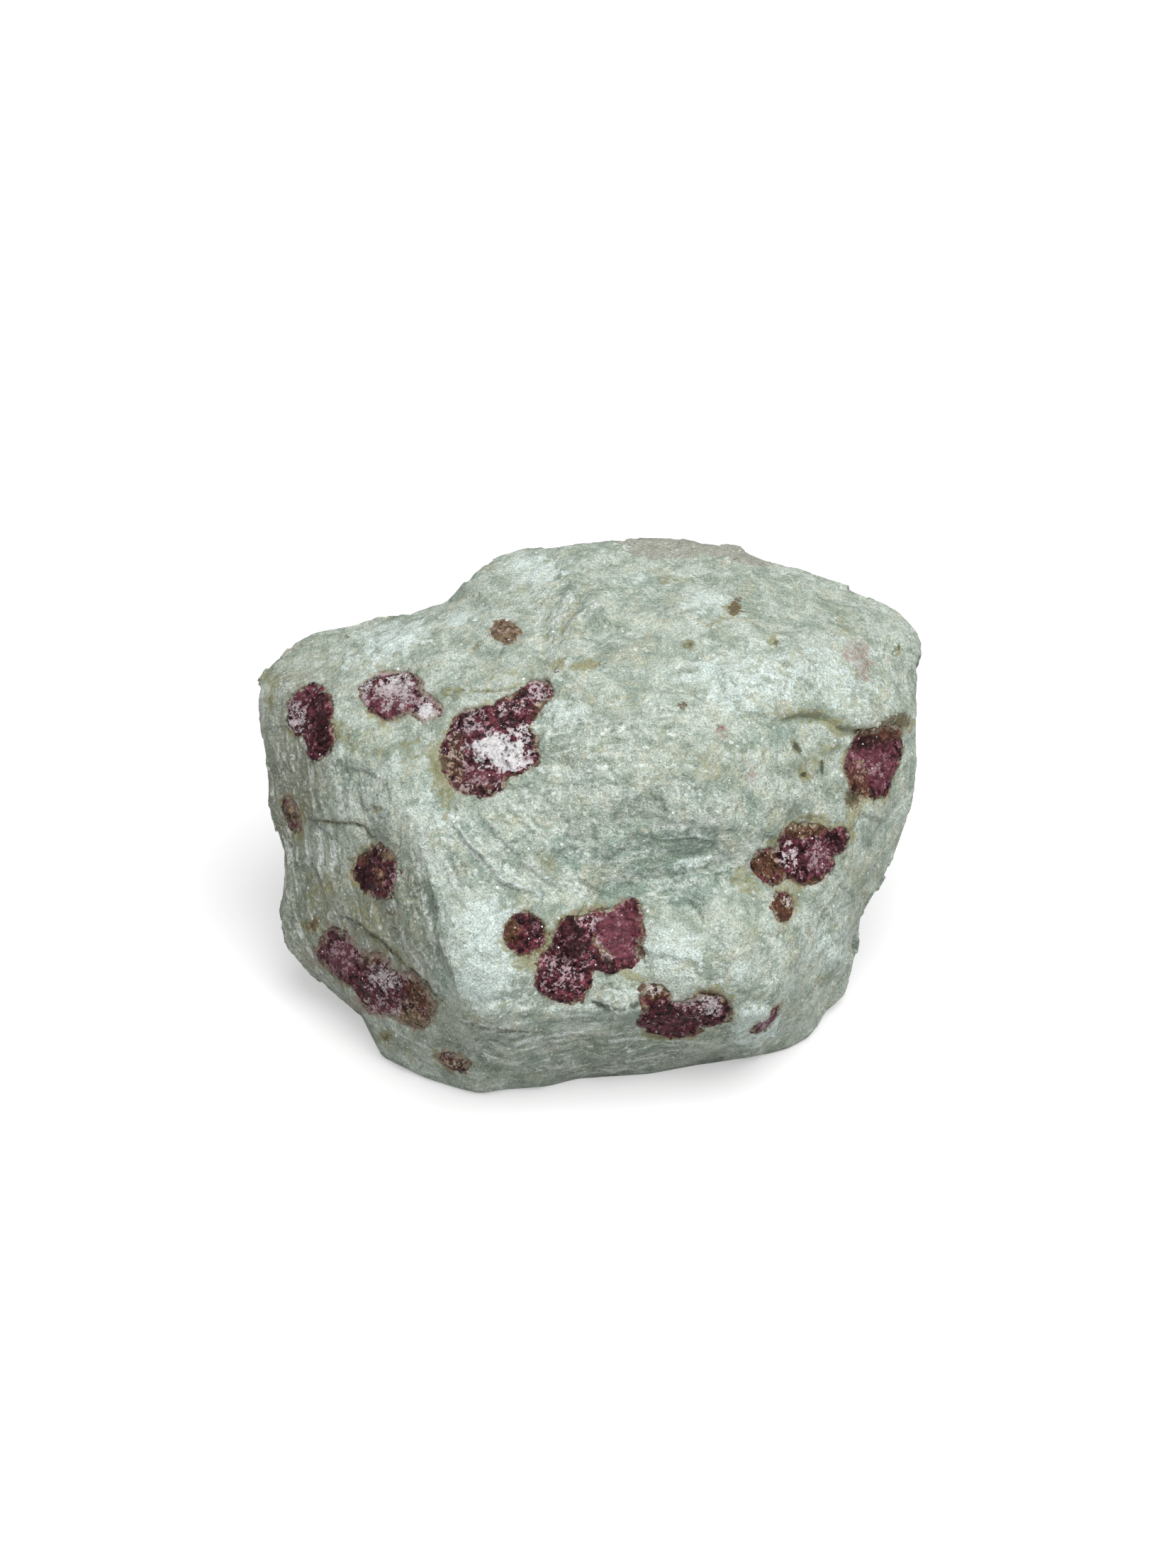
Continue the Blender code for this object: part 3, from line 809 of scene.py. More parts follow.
under = np.flatnonzero(seat > 0.0)
covered = np.zeros(len(seat))
pieces_tree = tree_of([crystal.data for crystal in crystals.values()])
covered[under] = lies_over(pieces_tree, places_of(rock)[under], outwards[under], PIECE_ABOVE, PIECE_BELOW)
seat *= ramp(evened(rock, covered, 1), 0.6, 0.95)
# The skin sinks where the seat is and a crystal's own piece really covers it
places = places_of(rock) - outwards * seat[:, None] * SEAT_DEPTH * MM
places[:, 2] = np.maximum(places[:, 2], 0.0)
move_to(rock, places)
print("points sunk under crystals:", int((seat > 0.5).sum()))

# %% [markdown]
# ## Fewer points where they are not needed
#
# The even net has far more points than flat stretches need. A decimate modifier keeps the ones
# that carry an edge or a grain. It is applied twice: first only to what the front hides, which is
# seen less, and then to the whole rock.

# %% Thin the net out
MOST_TRIANGLES = 197000
KEEP_HIDDEN = 0.30
SUNK = 0.7

unseen = (in_view(places_of(rock), outwards) < 0.5) | (seat > SUNK)
hidden = rock.vertex_groups.new(name="hidden")
hidden.add([int(index) for index in np.flatnonzero(unseen)], 1.0, "REPLACE")
kept = 1.0 - (1.0 - KEEP_HIDDEN) * unseen.mean()
shaped(rock, "DECIMATE", ratio=kept, vertex_group="hidden")
shaped(rock, "DECIMATE", ratio=min(1.0, MOST_TRIANGLES / (2 * len(rock.data.vertices))))
rock.vertex_groups.clear()
seen = in_view(places_of(rock), outwards_of(rock)) > 0.5
print("of the points,", int(seen.sum()), "are on the front and", int((~seen).sum()), "on the other sides")
rock.data.shade_smooth()
print("the rock keeps", len(rock.data.polygons), "faces")

# %% [markdown]
# ## Stains and tints
#
# Colour is painted on the points as soft masks, and the materials break their edges up. Iron has
# stained the rock olive and brown round the crystals, and an old weathered face of taupe is left
# along the back of the top. The left face and the foot are greyer and darker, partly with painted
# shade as they face away from the lamp. Painted shade darkens the cracks, the pits and the feet of
# the ledges and of the flake, and painted highlights lighten the arrises, the ledges' lips and the
# lit swelling, along with the chalky white that the rock has of its own.

# %% Masks on the rock
# Across, up, half width, half height, turn, strength
OLIVE = [
    (-20, -9.6, 3.2, 1.6, -40, 0.45), (14.4, -5.6, 1.6, 1.2, 0, 0.8), (19, -5.9, 2, 0.8, 30, 0.7),
    (-22, 12.6, 5, 2, 0, 0.2), (-8.4, 9.6, 3, 1.2, 0, 0.4), (-6, 12.6, 3.4, 1, 0, 0.45),
    (-15.4, 5.6, 2.6, 2.2, 0, 0.4), (12, 5, 4, 2, 0, 0.3), (2, 10.6, 4, 1, 0, 0.3),
    (-2.6, 13.8, 0.9, 0.6, 0, 0.9), (-0.3, 13.7, 1.6, 0.5, 0, 0.8), (7, 21.4, 1.2, 0.6, 10, 0.5),
    (11.8, 17.6, 1.8, 0.6, 35, 0.5), (13.2, 18.8, 0.8, 0.8, 0, 1), (23, 17.5, 0.6, 1.6, 25, 0.5),
    (-12.4, 11.2, 1.2, 0.6, 0, 0.7), (-21.6, 6.8, 1.4, 2.4, 20, 0.4), (-19, 0.7, 0.8, 0.4, 0, 0.8),
    (9.1, 15.7, 0.6, 0.6, 0, 0.9), (17, 15.9, 0.7, 0.5, -20, 0.9), (19, 6.2, 0.5, 1, 38, 1.3),
    (19.6, 9.1, 3.2, 0.8, -8, 0.7), (22.6, 8.1, 2.6, 0.8, -20, 0.7), (19.6, 3.8, 0.6, 0.5, 0, 1.4),
    (28.2, 15.2, 0.3, 0.7, 0, 0.9), (-10.2, 15.4, 0.3, 0.5, -30, 0.8), (-4, -4.6, 1, 1.6, -40, 0.5),
    (-5.4, -13.2, 1.5, 1.1, 0, 1.1), (3.6, -14.3, 3, 0.45, -18, 1.4), (23.2, -9.6, 1.4, 0.9, 20, 0.5),
    (21.1, -14.8, 1, 0.8, 0, 0.5), (-18.4, -19.9, 0.9, 0.6, 20, 1), (-24.9, -10, 1.1, 0.8, 0, 1),
    (20.6, 5.2, 2.4, 1.8, 0, 0.45), (24.2, 0.6, 0.7, 1.6, -20, 1), (28.6, 8.4, 1.1, 1, 20, 0.9),
    (-28.8, 12, 1, 2, 0, 0.6), (-19.4, -8.1, 0.5, 1, 0, 0.9), (16.2, -4.9, 2.4, 1.2, 20, 0.6),
    (18.2, -7, 1.4, 1.6, 0, 0.7), (20.8, -0.4, 3, 0.9, -15, 0.8), (-13.3, 4.4, 1.1, 3.4, 8, 1.5),
    (-19, 5.8, 1.4, 0.6, 0, 0.4), (-24, -6.8, 1.8, 2.2, 0, 0.5), (14.6, -16.2, 2, 0.8, 0, 0.3),
    (2.9, -16.3, 2.2, 0.7, -3, 0.35), (24.6, -6, 1, 3, 25, 0.4), (-25.6, 0.6, 1.4, 1.8, 0, 0.4),
]
BROWN = [
    (13.3, 18.9, 0.7, 0.8, 0, 1.3), (24.1, 2.2, 0.8, 1.3, -10, 1.4), (12.1, 8.2, 0.35, 0.35, 0, 0.6),
    (8.6, 10.1, 0.5, 0.4, -20, 1.5), (-21.9, 16.3, 0.3, 0.3, 0, 0.5), (-2.9, 13.2, 0.4, 0.3, 0, 0.7),
    (1.1, 13.8, 0.7, 0.3, 0, 0.5), (-17.9, -8.6, 0.4, 0.5, 0, 0.6), (28, 8.6, 1.2, 1, 20, 0.9),
    (-18.2, -20, 0.5, 0.4, 0, 0.5), (-24.9, -9.9, 0.8, 0.7, 0, 0.8), (24.3, 1.2, 0.4, 0.8, -20, 0.6),
]
BLUSH = [
    (-20.8, -17.2, 1.4, 3, -35, 0.9), (-24.4, -12.4, 1.2, 1.6, -40, 0.6), (24.2, 15.1, 1.2, 1.1, 0, 1),
    (25, 13.4, 0.9, 1.3, 0, 1.2), (14.8, 4.1, 1.2, 1.8, 0, 0.5), (12.3, 7.6, 0.8, 0.8, 0, 0.7),
    (22.4, 16.6, 1.4, 0.6, -30, 0.4),
]
TEAL = [
    (4.5, 20.5, 3.4, 1.6, 0, 0.5), (-1.9, -3.1, 2.6, 1.6, -20, 0.8), (26.6, 12.4, 2, 2, 0, 0.2),
    (6.5, -3, 5.5, 2.4, 10, 1), (9.5, -6.6, 4, 1.6, 12, 1), (-14.6, -8.3, 1.2, 3.4, 12, 1),
    (-13.8, -13, 1.1, 3, 18, 1), (14.8, 1, 0.5, 1.8, 0, 0.9), (2, -2, 3.5, 2.5, 10, 0.5),
    (16.5, 7.6, 3, 2.2, 0, 0.6), (19, 8.8, 3.4, 0.5, 0, 0.8), (-9.8, -1, 2.4, 1.4, 0, 0.5),
    (-26, -6, 1.6, 4, 0, 0.5), (-21, -9.6, 1.6, 1.2, -40, 0.4), (3.5, -7, 2.6, 1.2, 0, 0.9),
    (4.5, -21, 5, 0.8, 5, 0.7), (-13.3, 2, 1.2, 2.4, 0, 0.4), (-3, -22, 4, 0.7, 0, 0.7),
]
# Partly the rock's own chalky white, partly painted highlight: the lit swelling and front arris near (-9,
# -12), and a painted glint at (-2.8, -11.4)
CHALK_AND_HIGHLIGHT = [
    (-17.4, 16.2, 4, 1.6, 15, 0.9), (-4.5, 22.6, 3, 1.4, 0, 0.7), (10.9, 19.5, 3, 1.2, 0, 0.6),
    (-9.4, -14, 2.6, 3.4, 15, 1.2), (2.7, -16.1, 2.3, 0.9, -3, 0.5), (15, -18.9, 2.3, 2.1, 20, 1.2),
    (12.9, -14.3, 2.6, 1.3, 0, 0.45), (9.3, -4.3, 2.3, 0.6, 12, 0.7), (-9, -11.5, 3.6, 4.2, 15, 1),
    (15, 12.6, 6, 3.4, 0, 0.6), (23, 13, 4, 4, 0, 0.45), (-20, 14.2, 3.6, 1.6, 0, 0.5),
    (-11.6, 18, 1.6, 0.6, 15, 0.9), (8.9, 12.6, 1.8, 0.5, 0, 0.9), (-17.4, 5.1, 0.4, 1, 0, 1),
    (-13.6, 0.4, 2, 2.6, 20, 0.6), (22.4, -11.4, 2.4, 3, 0, 0.6), (7, -12, 4, 2.4, -10, 0.7),
    (-3, 9.6, 3, 1.4, 0, 0.6), (4.8, 21.8, 0.5, 0.4, 0, 0.9), (27, 12, 1.6, 3.6, 0, 0.3),
    (-2.8, -11.4, 0.4, 0.4, 0, 1.6), (-5.4, -20.2, 2.6, 0.7, 0, 0.5),
]
# The left face and the foot: partly their own greyer weathered colour, partly painted shade, as they face
# away from the lamp
GREY_AND_SHADE = [
    (-26.8, 3.2, 3.8, 12, -4, 1), (-23, -10, 8, 9, 25, 0.8), (-17, -9, 3.4, 8, 14, 0.9),
    (-13, -20, 6, 3, 0, 0.48), (-3, -21.6, 11, 2.4, 0, 0.36), (6, -20.8, 8, 2.2, 6, 0.45),
]
# Painted shade in the carved pits and cracks, and one dark brown stain beside the right crystal
SHADE_AND_STAIN_SPOTS = [
    (24.1, 2.1, 0.6, 0.8, -10, 0.7), (21.2, 4.3, 0.18, 0.8, 0, 1.6), (19, 6.2, 0.32, 0.8, 38, 1.1),
    (19.6, 3.8, 0.35, 0.3, 0, 1), (9.1, 15.6, 0.4, 0.35, 0, 0.5), (17, 15.8, 0.45, 0.25, -20, 0.6),
    (28.2, 15.4, 0.2, 0.6, 0, 0.6), (-10.2, 15.4, 0.2, 0.35, -30, 0.6), (-7.6, -19.4, 3.6, 0.22, -3, 0.6),
]
print(len(OLIVE + BROWN + BLUSH + TEAL + CHALK_AND_HIGHLIGHT + GREY_AND_SHADE + SHADE_AND_STAIN_SPOTS), "patches on the rock")

# %% Lines of stain, painted shade and painted highlight
TAUPE_EDGE = [
    (2, 25.2), (4.1, 23.7), (5.8, 23.3), (10.6, 23.6), (12.7, 23.4), (14, 22.9), (16.1, 22.6), (18.5, 22.9),
]
# Line, half width, strength
STAIN_LINES = [
    (SHOULDER_GROOVE, 0.40, 0.5), (SHOULDER_GROOVE_LEFT, 0.35, 0.5), (SHOULDER_LEDGE, 0.35, 0.6),
    (HUMP, 0.7, 0.6), (LEFT_LEDGE, 0.3, 0.6), (CREASE, 0.45, 0.6),
]
# Partly painted highlights along the arrises and ledge lips, partly the paler rock of worn edges
CHALK_AND_HIGHLIGHT_LINES = [
    (FRONT_LEDGE, 0.22, 0.7), (FRONT_LEDGE_RIGHT, 0.20, 0.6), (LEFT_ARRIS, 0.45, 0.5),
    (HOLLOW_EDGE_LOWER, 0.2, 0.5), (HOLLOW_EDGE_UPPER, 0.2, 0.5), (FOOT_ARRIS, 0.3, 0.5),
    (SWELLING_LENS, 0.3, 0.7), (TOP_LEDGE, 0.3, 0.4),
]
SHADE_LINES = [
    (FLAKE_EDGE, 0.14, 0.55), (FLAKE_FOOT, 0.17, 1.3), (CREASE, 0.16, 0.8), (LEFT_LEDGE, 0.16, 0.7),
    (SHOULDER_LEDGE, 0.20, 0.5), (RIGHT_CRACK, 0.16, 0.9), (FRONT_LEDGE, 0.16, 0.35),
    (SWELLING_CRACK, 0.16, 0.7), (HOLLOW_EDGE, 0.25, 0.4),
]
# The shade lines are painted shade, and the chalk lines are partly painted highlight
print(len(STAIN_LINES) + len(CHALK_AND_HIGHLIGHT_LINES) + len(SHADE_LINES), "lines carry a stain")

# %% Paint the rock
# Size, roll, height
STAIN_WAVES = (0.9, 81, 0.4)
STAIN_NICKS = (0.4, 82, 0.3)
STAIN_FIBRES = (0.26, 4.5, 84)
PATCHY_SIZE, PATCHY_ROLL = 3.6, 83
CHANCE_SIZE, CHANCE_ROLLS = 5.0, (85, 86, 87)


def lines(table, across, up, wander):
    """As strong as each line says along it, and fading to its sides."""
    found = np.zeros(len(across))
    for line, half_width, strength in table:
        away, ends = from_line(line, across, up)
        found = np.maximum(found, strength * ends * np.exp(-((away + wander) / half_width) ** 2))
    return found


def stain(thing):
    """Paints every mask of the rock: by place on the front, by chance on the unseen sides."""
    places, outwards = places_of(thing), outwards_of(thing)
    across, up, _ = sight(places)
    seen = in_view(places, outwards)
    rough = laid(swells, places, *STAIN_WAVES) + laid(swells, places, *STAIN_NICKS)
    wander = laid(swells, places, *WANDER)
    near = from_crystals(places)
    clouds = [swells(places, CHANCE_SIZE, roll) + rough * 0.5 for roll in CHANCE_ROLLS]
    chance = [(1.0 - seen) * ramp(cloud, 0.1, 0.8) for cloud in clouds]
    stained = lines(STAIN_LINES, across, up, wander + rough * 0.2)
    olive = np.maximum(blotches(OLIVE, across, up, rough), stained)
    partly = ramp(swells(places, PATCHY_SIZE, PATCHY_ROLL), -0.3, 0.5)
    halo = partly * ramp(1.3 - near + rough, 0.0, 1.3)
    rim = (0.3 + 0.7 * partly) * ramp(0.40 - near + rough * 0.4, 0.0, 0.5)
    soft = np.maximum(blotches(SOFT, across, up, rough), 0.5) * ramp(0.9 - near + rough * 0.6, 0.0, 0.9)
    away, ends = from_line(TAUPE_EDGE, across, up)
    taupe = ramp(away + rough * 0.5, -0.2, 0.3) * ramp(across, 1.6, 2.2) * ramp(-across, -19.5, -17.0)
    paint(thing, "olive", np.max([olive * seen, halo, chance[0] * 0.5], axis=0))
    paint(thing, "brown", np.maximum(blotches(BROWN, across, up, rough) * seen, rim * 0.8))
    paint(thing, "blush", np.maximum(blotches(BLUSH, across, up, rough), soft * 0.8) * seen)
    paint(thing, "teal", np.maximum(blotches(TEAL, across, up, rough) * seen, chance[1]))
    # Chalky white of the rock together with painted highlights on the arrises, ledge lips and lit swelling
    chalk_and_highlight = np.maximum(blotches(CHALK_AND_HIGHLIGHT, across, up, rough), lines(CHALK_AND_HIGHLIGHT_LINES, across, up, wander - 0.2))
    paint(thing, "chalk_and_highlight", np.maximum(chalk_and_highlight * seen, chance[2] * 0.7))
    # The grey mask is partly painted shade on the faces turned away from the lamp
    paint(thing, "grey", blotches(GREY_AND_SHADE, across, up, rough * 0.5) * seen)
    # The dark mask is painted shade in the cracks, pits and feet of the ledges and flake, with one brown
    # stain
    dark = np.maximum(blotches(SHADE_AND_STAIN_SPOTS, across, up, rough * 0.4), lines(SHADE_LINES, across, up, wander))
    paint(thing, "dark", dark * seen)
    paint(thing, "taupe", taupe * seen * ramp(up, 21.0, 22.0))
    fibres = combed(places, fibre_ways(places, outwards), *STAIN_FIBRES)
    paint(thing, "fibre", fibres * fibrous(places))


stain(rock)
print("masks:", [layer.name for layer in rock.data.attributes if layer.domain == "POINT"][:12])

# %% [markdown]
# ### Masks on the crystals
#
# A crystal is not one colour. It is nearly black-red where it is whole and deep, frosted white
# where its grains were crushed, rosy where the light gets in, and rust or tan where iron got in.

# %% Tints of each crystal
# Across, up, half width, half height, turn, strength
FROST = [
    (-26.4, 8.6, 1.2, 2.6, 12, 0.55), (-17.6, 11.4, 2.8, 2.2, -8, 0.7), (-20, 12, 1.2, 1.6, 0, 0.66),
    (-14.4, 9.6, 1.6, 1.4, -20, 0.85), (-7.9, 5.9, 3, 2, -12, 0.95), (-6.2, 7.6, 1.5, 1, 0, 0.72),
    (-4.6, 11.2, 1.2, 1.4, 0, 0.5), (-10.4, 8.6, 1.8, 1.4, 20, 0.45), (-11.8, 6, 1.4, 3.4, 10, 0.4),
    (-9.8, 2.8, 2.6, 1.2, 0, 0.4), (-7, 10, 2, 0.8, 20, 0.5), (-17.7, -5.2, 0.9, 1.2, 0, 0.28),
    (-18, -14.6, 2.6, 2, 20, 0.56), (-22, -12.4, 2, 2, -40, 0.38), (-18.8, -17.3, 1.9, 1.8, 0, 0.5),
    (-2.2, -14.2, 2.5, 2.3, 0, 0.36), (0, -9.4, 1.2, 0.8, 0, 0.5), (1.35, -12.2, 0.45, 1.8, 36, 0.4),
    (3.4, -11.6, 1.6, 2.2, 0, 0.1), (18.2, -3.6, 1.3, 1.7, 10, 0.55), (20.6, -3.4, 1.6, 1.8, 0, 0.42),
    (9.6, -16.8, 2, 1.5, 0, 0.48), (6, -15.6, 1.4, 0.9, 0, 0.6), (6.6, -18.4, 1.6, 1.6, 0, 0.16),
    (25.4, 4.6, 2.4, 1.5, 20, 0.32), (-6, -10, 1.4, 1.6, 0, 0.1), (15.9, -18, 0.9, 1.2, 0, 0.45),
    (18.2, -7.6, 0.8, 0.8, 0, 0.56), (10.9, -17.2, 1.3, 1.3, 0, 0.64), (-26.7, 0.3, 0.9, 1.6, 0, 0.3),
    (-12.1, -22.3, 1.6, 0.8, 0, 0.4), (19.2, -1.2, 2.2, 0.7, 0, 0.26), (-15.6, -16.6, 1.6, 1.6, 0, 0.25),
]
RUST = [
    (-9.8, 2.6, 2.4, 0.9, 0, 0.5), (-19, -5.2, 1, 1.2, 0, 0.6), (-21, -3.6, 1.5, 1, 0, 1),
    (-18.2, -8.2, 1.6, 0.6, 0, 0.8), (16, -4.4, 1.5, 1.5, 0, 1.2), (19.2, -1.2, 2.6, 0.9, 0, 0.9),
    (17.7, -8.4, 1.3, 1.3, 0, 0.9), (26.6, 7.6, 2.9, 0.9, 10, 1.2), (-15.3, -15.8, 1.7, 2.6, 0, 1),
    (-19.5, -12.7, 1.3, 0.9, 0, 0.9), (6.1, -15.9, 1.5, 0.9, 0, 1), (-12.1, -22.3, 1.8, 0.9, 0, 0.8),
    (-26.7, 0.3, 0.9, 1.6, 0, 0.7), (-4, 9.6, 1.2, 1.2, 0, 0.9), (-7, -10.4, 0.9, 1.5, 0, 1),
    (-24.4, -11, 0.8, 0.8, 0, 0.8), (-20.6, -17.2, 1, 1.6, -30, 0.7), (24.2, 2.6, 1.5, 2.2, 0, 1.7),
    (20.4, -6.2, 2.2, 0.7, 15, 0.8), (17.4, -5.6, 1, 1.2, 0, 0.7), (-12, 5.4, 0.9, 3, 10, 0.8),
    (25, 6.6, 1.4, 0.6, 10, 0.8),
]
ROSY = [
    (2.9, -10.4, 2.1, 2.8, 0, 1.1), (25.6, 5, 2.8, 2.4, 15, 1.1), (26.5, 2.9, 0.7, 0.7, 0, 0.9),
    (7.2, -19, 2.6, 1, 0, 0.5), (20.9, -3.8, 1.7, 1.9, 0, 0.8), (-22.3, -12.7, 1.7, 1.9, -40, 0.8),
    (-17.8, 10.6, 2.8, 1.6, 0, 1), (16, -18.2, 1, 1.6, 0, 0.9), (-18.8, -17.3, 1.7, 1.7, 0, 0.7),
    (-25.8, 11, 1.4, 0.8, 0, 0.7), (9.6, -17.4, 1.8, 1.2, 0, 0.5), (-9.6, 3.4, 2, 1.2, 0, 0.5),
]
TAN = [
    (1.35, -12.2, 0.4, 1.9, 36, 2.4), (-14, -16.2, 0.8, 2, 0, 0.6), (-7.5, 16.8, 2.4, 2.4, 0, 1.2),
    (-18.2, -3.6, 0.9, 0.6, 0, 1), (-16.4, -18.4, 2.6, 0.8, -8, 1.2), (17.2, -6.4, 1.6, 0.6, 0, 0.8),
    (-12.9, 4, 0.6, 2.6, 8, 0.7), (-26.7, 0.3, 0.9, 1.6, 0, 0.8), (28.4, 8.2, 0.8, 0.9, 0, 0.6),
    (18.6, -0.4, 2.2, 0.8, 0, 1.1), (-14.2, -17.6, 0.8, 0.8, 0, 0.9), (-12.1, -22.3, 1.4, 0.6, 0, 0.6),
]
DEEP = [
    (-24.2, 8.6, 0.9, 3.4, 12, 0.8), (-1.6, -11.4, 1.5, 2, -40, 1.3), (-4.9, -10.4, 0.7, 1, 0, 0.6),
    (22.4, -2.3, 1, 0.9, 0, 0.9), (-20.2, -5.8, 0.9, 1.2, 0, 1), (25.4, 6.8, 1.7, 0.8, 10, 1.1),
    (15.9, -4.5, 0.9, 0.8, 0, 0.4), (24, 2.4, 1.1, 1.2, 0, 0.6), (12.3, -20.2, 0.9, 0.6, 0, 0.8),
    (-10, 2.4, 1, 0.8, 0, 0.6), (-4.6, -9.4, 1.3, 0.9, 0, 0.8), (-19.6, 12.6, 0.6, 0.8, 0, 0.7),
    (2.1, -13.5, 0.36, 1, 36, 1.6), (3.2, -14.4, 0.6, 0.8, 36, 0.9), (-7.4, 9.6, 1.6, 0.6, 20, 0.3),
    (7.6, -19.2, 2.4, 1, 0, 0.4),
]
print(len(FROST + RUST + ROSY + TAN + DEEP), "patches on the crystals")

# %% Paint the crystals
# Mask: its patches on the front, and the roll and the limits of chance that stand in elsewhere
ZONES = {
    "frost": (FROST, 93, 0.0, 0.9),
    "rust": (RUST, 94, 0.1, 0.8),
    "rosy": (ROSY, 95, -0.1, 0.6),
    "tan": (TAN, 96, 0.3, 0.9),
    "deep": (DEEP, 97, 0.1, 0.8),
}
ZONE_SIZE = 2.2
LEAST_FROST = 0.06
# Size, roll, height
TINT_WAVES = (0.8, 91, 0.35)
TINT_NICKS = (0.35, 92, 0.35)
STREAKS = (0.20, 1.8, 98)
HIDDEN_SIDES = ("back", "left_end", "right_end")


def tint_crystal(thing, hidden):
    """Paints every mask of one crystal, by place on the front and by chance on the unseen sides."""
    places, outwards = places_of(thing), outwards_of(thing)
    across, up, _ = sight(places)
    rough = laid(swells, places, *TINT_WAVES) + laid(swells, places, *TINT_NICKS)
    for name, (patches, roll, low, high) in ZONES.items():
        by_chance = ramp(swells(places, ZONE_SIZE, roll) + rough, low, high) * 0.8
        zone = by_chance if hidden else blotches(patches, across, up, rough)
        paint(thing, name, np.maximum(zone, LEAST_FROST) if name == "frost" else zone)
    paint(thing, "streak", combed(places, fibre_ways(places, outwards), *STREAKS, steps=9))


hidden_nodes = [node for node in crystals if any(side in node for side in HIDDEN_SIDES)]
for node, crystal in crystals.items():
    tint_crystal(crystal, node in hidden_nodes)
print(len(hidden_nodes), "crystals are tinted by chance and", len(crystals) - len(hidden_nodes), "by place")

# %% [markdown]
# ## Shared effects
#
# Both minerals are grainy, and both glint where a grain's face catches the lamp. So the grains
# and the breaking-up of a mask's edge are node groups, built once, with the size as an input.

# %% Small steps between nodes
def new_group(name, inputs, outputs):
    """An empty node group with named number inputs and named outputs."""
    group = bpy.data.node_groups.new(name, "ShaderNodeTree")
    for label, default in inputs.items():
        socket = group.interface.new_socket(label, in_out="INPUT", socket_type="NodeSocketFloat")
        socket.default_value = default
    for label in outputs:
        group.interface.new_socket(label, in_out="OUTPUT", socket_type="NodeSocketFloat")
    return group, group.nodes.new("NodeGroupInput").outputs, group.nodes.new("NodeGroupOutput").inputs


def reckon(tree, operation, first, second=0.0, third=0.0, clamp=False):
    """One sum on values, and its output."""
    inputs = {0: first, 1: second, 2: third}
    return put_in(tree, "Math", inputs, operation=operation, use_clamp=clamp).outputs[0]


def per_metre(tree, millimetres):
    """The scale of a texture whose marks are this many millimetres wide."""
    return reckon(tree, "DIVIDE", 1000.0, millimetres)


def object_places(tree):
    """The place on the object, in metres."""
    return put_in(tree, "TexCoord").outputs["Object"]


def scaled(tree, value, low, high, to_low, to_high):
    """A value moved from one range to another."""
    limits = {"Value": value, "From Min": low, "From Max": high, "To Min": to_low, "To Max": to_high}
    return put_in(tree, "MapRange", limits).outputs[0]


# %% Grains
def make_grains():
    """Sugary grains: a tone that differs from grain to grain, and the height of their tilted faces."""
    group, given, result = new_group("grains", {"Size": 0.4, "Tilt": 0.5}, ["Tone", "Height", "Fine"])
    where = object_places(group)
    scale = per_metre(group, given["Size"])
    cells = put_in(group, "TexVoronoi", {"Vector": where, "Scale": scale, "Randomness": 1.0}, feature="F1")
    fine = put_in(group, "TexNoise", {"Vector": where, "Scale": scale, "Detail": 3.0, "Roughness": 0.65})
    from_middle = {0: where, 1: cells.outputs["Position"]}
    away = put_in(group, "VectorMath", from_middle, operation="SUBTRACT").outputs[0]
    by_chance = {0: cells.outputs["Color"], 1: (0.5, 0.5, 0.5)}
    lean = put_in(group, "VectorMath", by_chance, operation="SUBTRACT").outputs[0]
    face = put_in(group, "VectorMath", {0: away, 1: lean}, operation="DOT_PRODUCT").outputs["Value"]
    tilted = reckon(group, "MULTIPLY", reckon(group, "MULTIPLY", face, scale), given["Tilt"])
    tone = put_in(group, "SeparateColor", {0: cells.outputs["Color"]}).outputs[0]
    group.links.new(tone, result["Tone"])
    group.links.new(fine.outputs["Fac"], result["Fine"])
    crumbs = reckon(group, "MULTIPLY", fine.outputs["Fac"], 0.6)
    group.links.new(reckon(group, "ADD", tilted, crumbs), result["Height"])
    return group


GRAINS = make_grains()
print("grains:", len(GRAINS.nodes), "nodes")


# %% Blotches
def make_blotches():
    """Blotches of a given size, from 0 to 1, with a cloudy edge."""
    group, given, result = new_group("blotches", {"Size": 3.0, "Low": 0.4, "High": 0.6}, ["Mask"])
    noise = {"Vector": object_places(group), "Scale": per_metre(group, given["Size"])}
    noise.update({"Detail": 5.0, "Roughness": 0.62, "Distortion": 0.4})
    cloud = put_in(group, "TexNoise", noise)
    limits = {"Value": cloud.outputs["Fac"], "From Min": given["Low"], "From Max": given["High"]}
    softened = put_in(group, "MapRange", limits, interpolation_type="SMOOTHSTEP").outputs[0]
    group.links.new(softened, result["Mask"])
    return group


BLOTCHES = make_blotches()
print("blotches:", len(BLOTCHES.nodes), "nodes")


# %% Ragged edges
def make_ragged():
    """A painted mask whose edge follows the grains."""
    group, given, result = new_group("ragged", {"Mask": 0.0, "Size": 0.5, "Amount": 0.6}, ["Mask"])
    noise = {"Vector": object_places(group), "Scale": per_metre(group, given["Size"])}
    noise.update({"Detail": 4.0, "Roughness": 0.7})
    speck = put_in(group, "TexNoise", noise)
    swing = reckon(group, "MULTIPLY", reckon(group, "SUBTRACT", speck.outputs["Fac"], 0.5), given["Amount"])
    edge = reckon(group, "MULTIPLY_ADD", swing, 4.0, given["Mask"])
    limits = {"Value": edge, "From Min": 0.25, "From Max": 0.75}
    softened = put_in(group, "MapRange", limits, interpolation_type="SMOOTHSTEP").outputs[0]
    faint = reckon(group, "MULTIPLY", given["Mask"], 2.5, clamp=True)
    group.links.new(reckon(group, "MULTIPLY", softened, faint), result["Mask"])
    return group


RAGGED = make_ragged()
print("ragged edges:", len(RAGGED.nodes), "nodes")


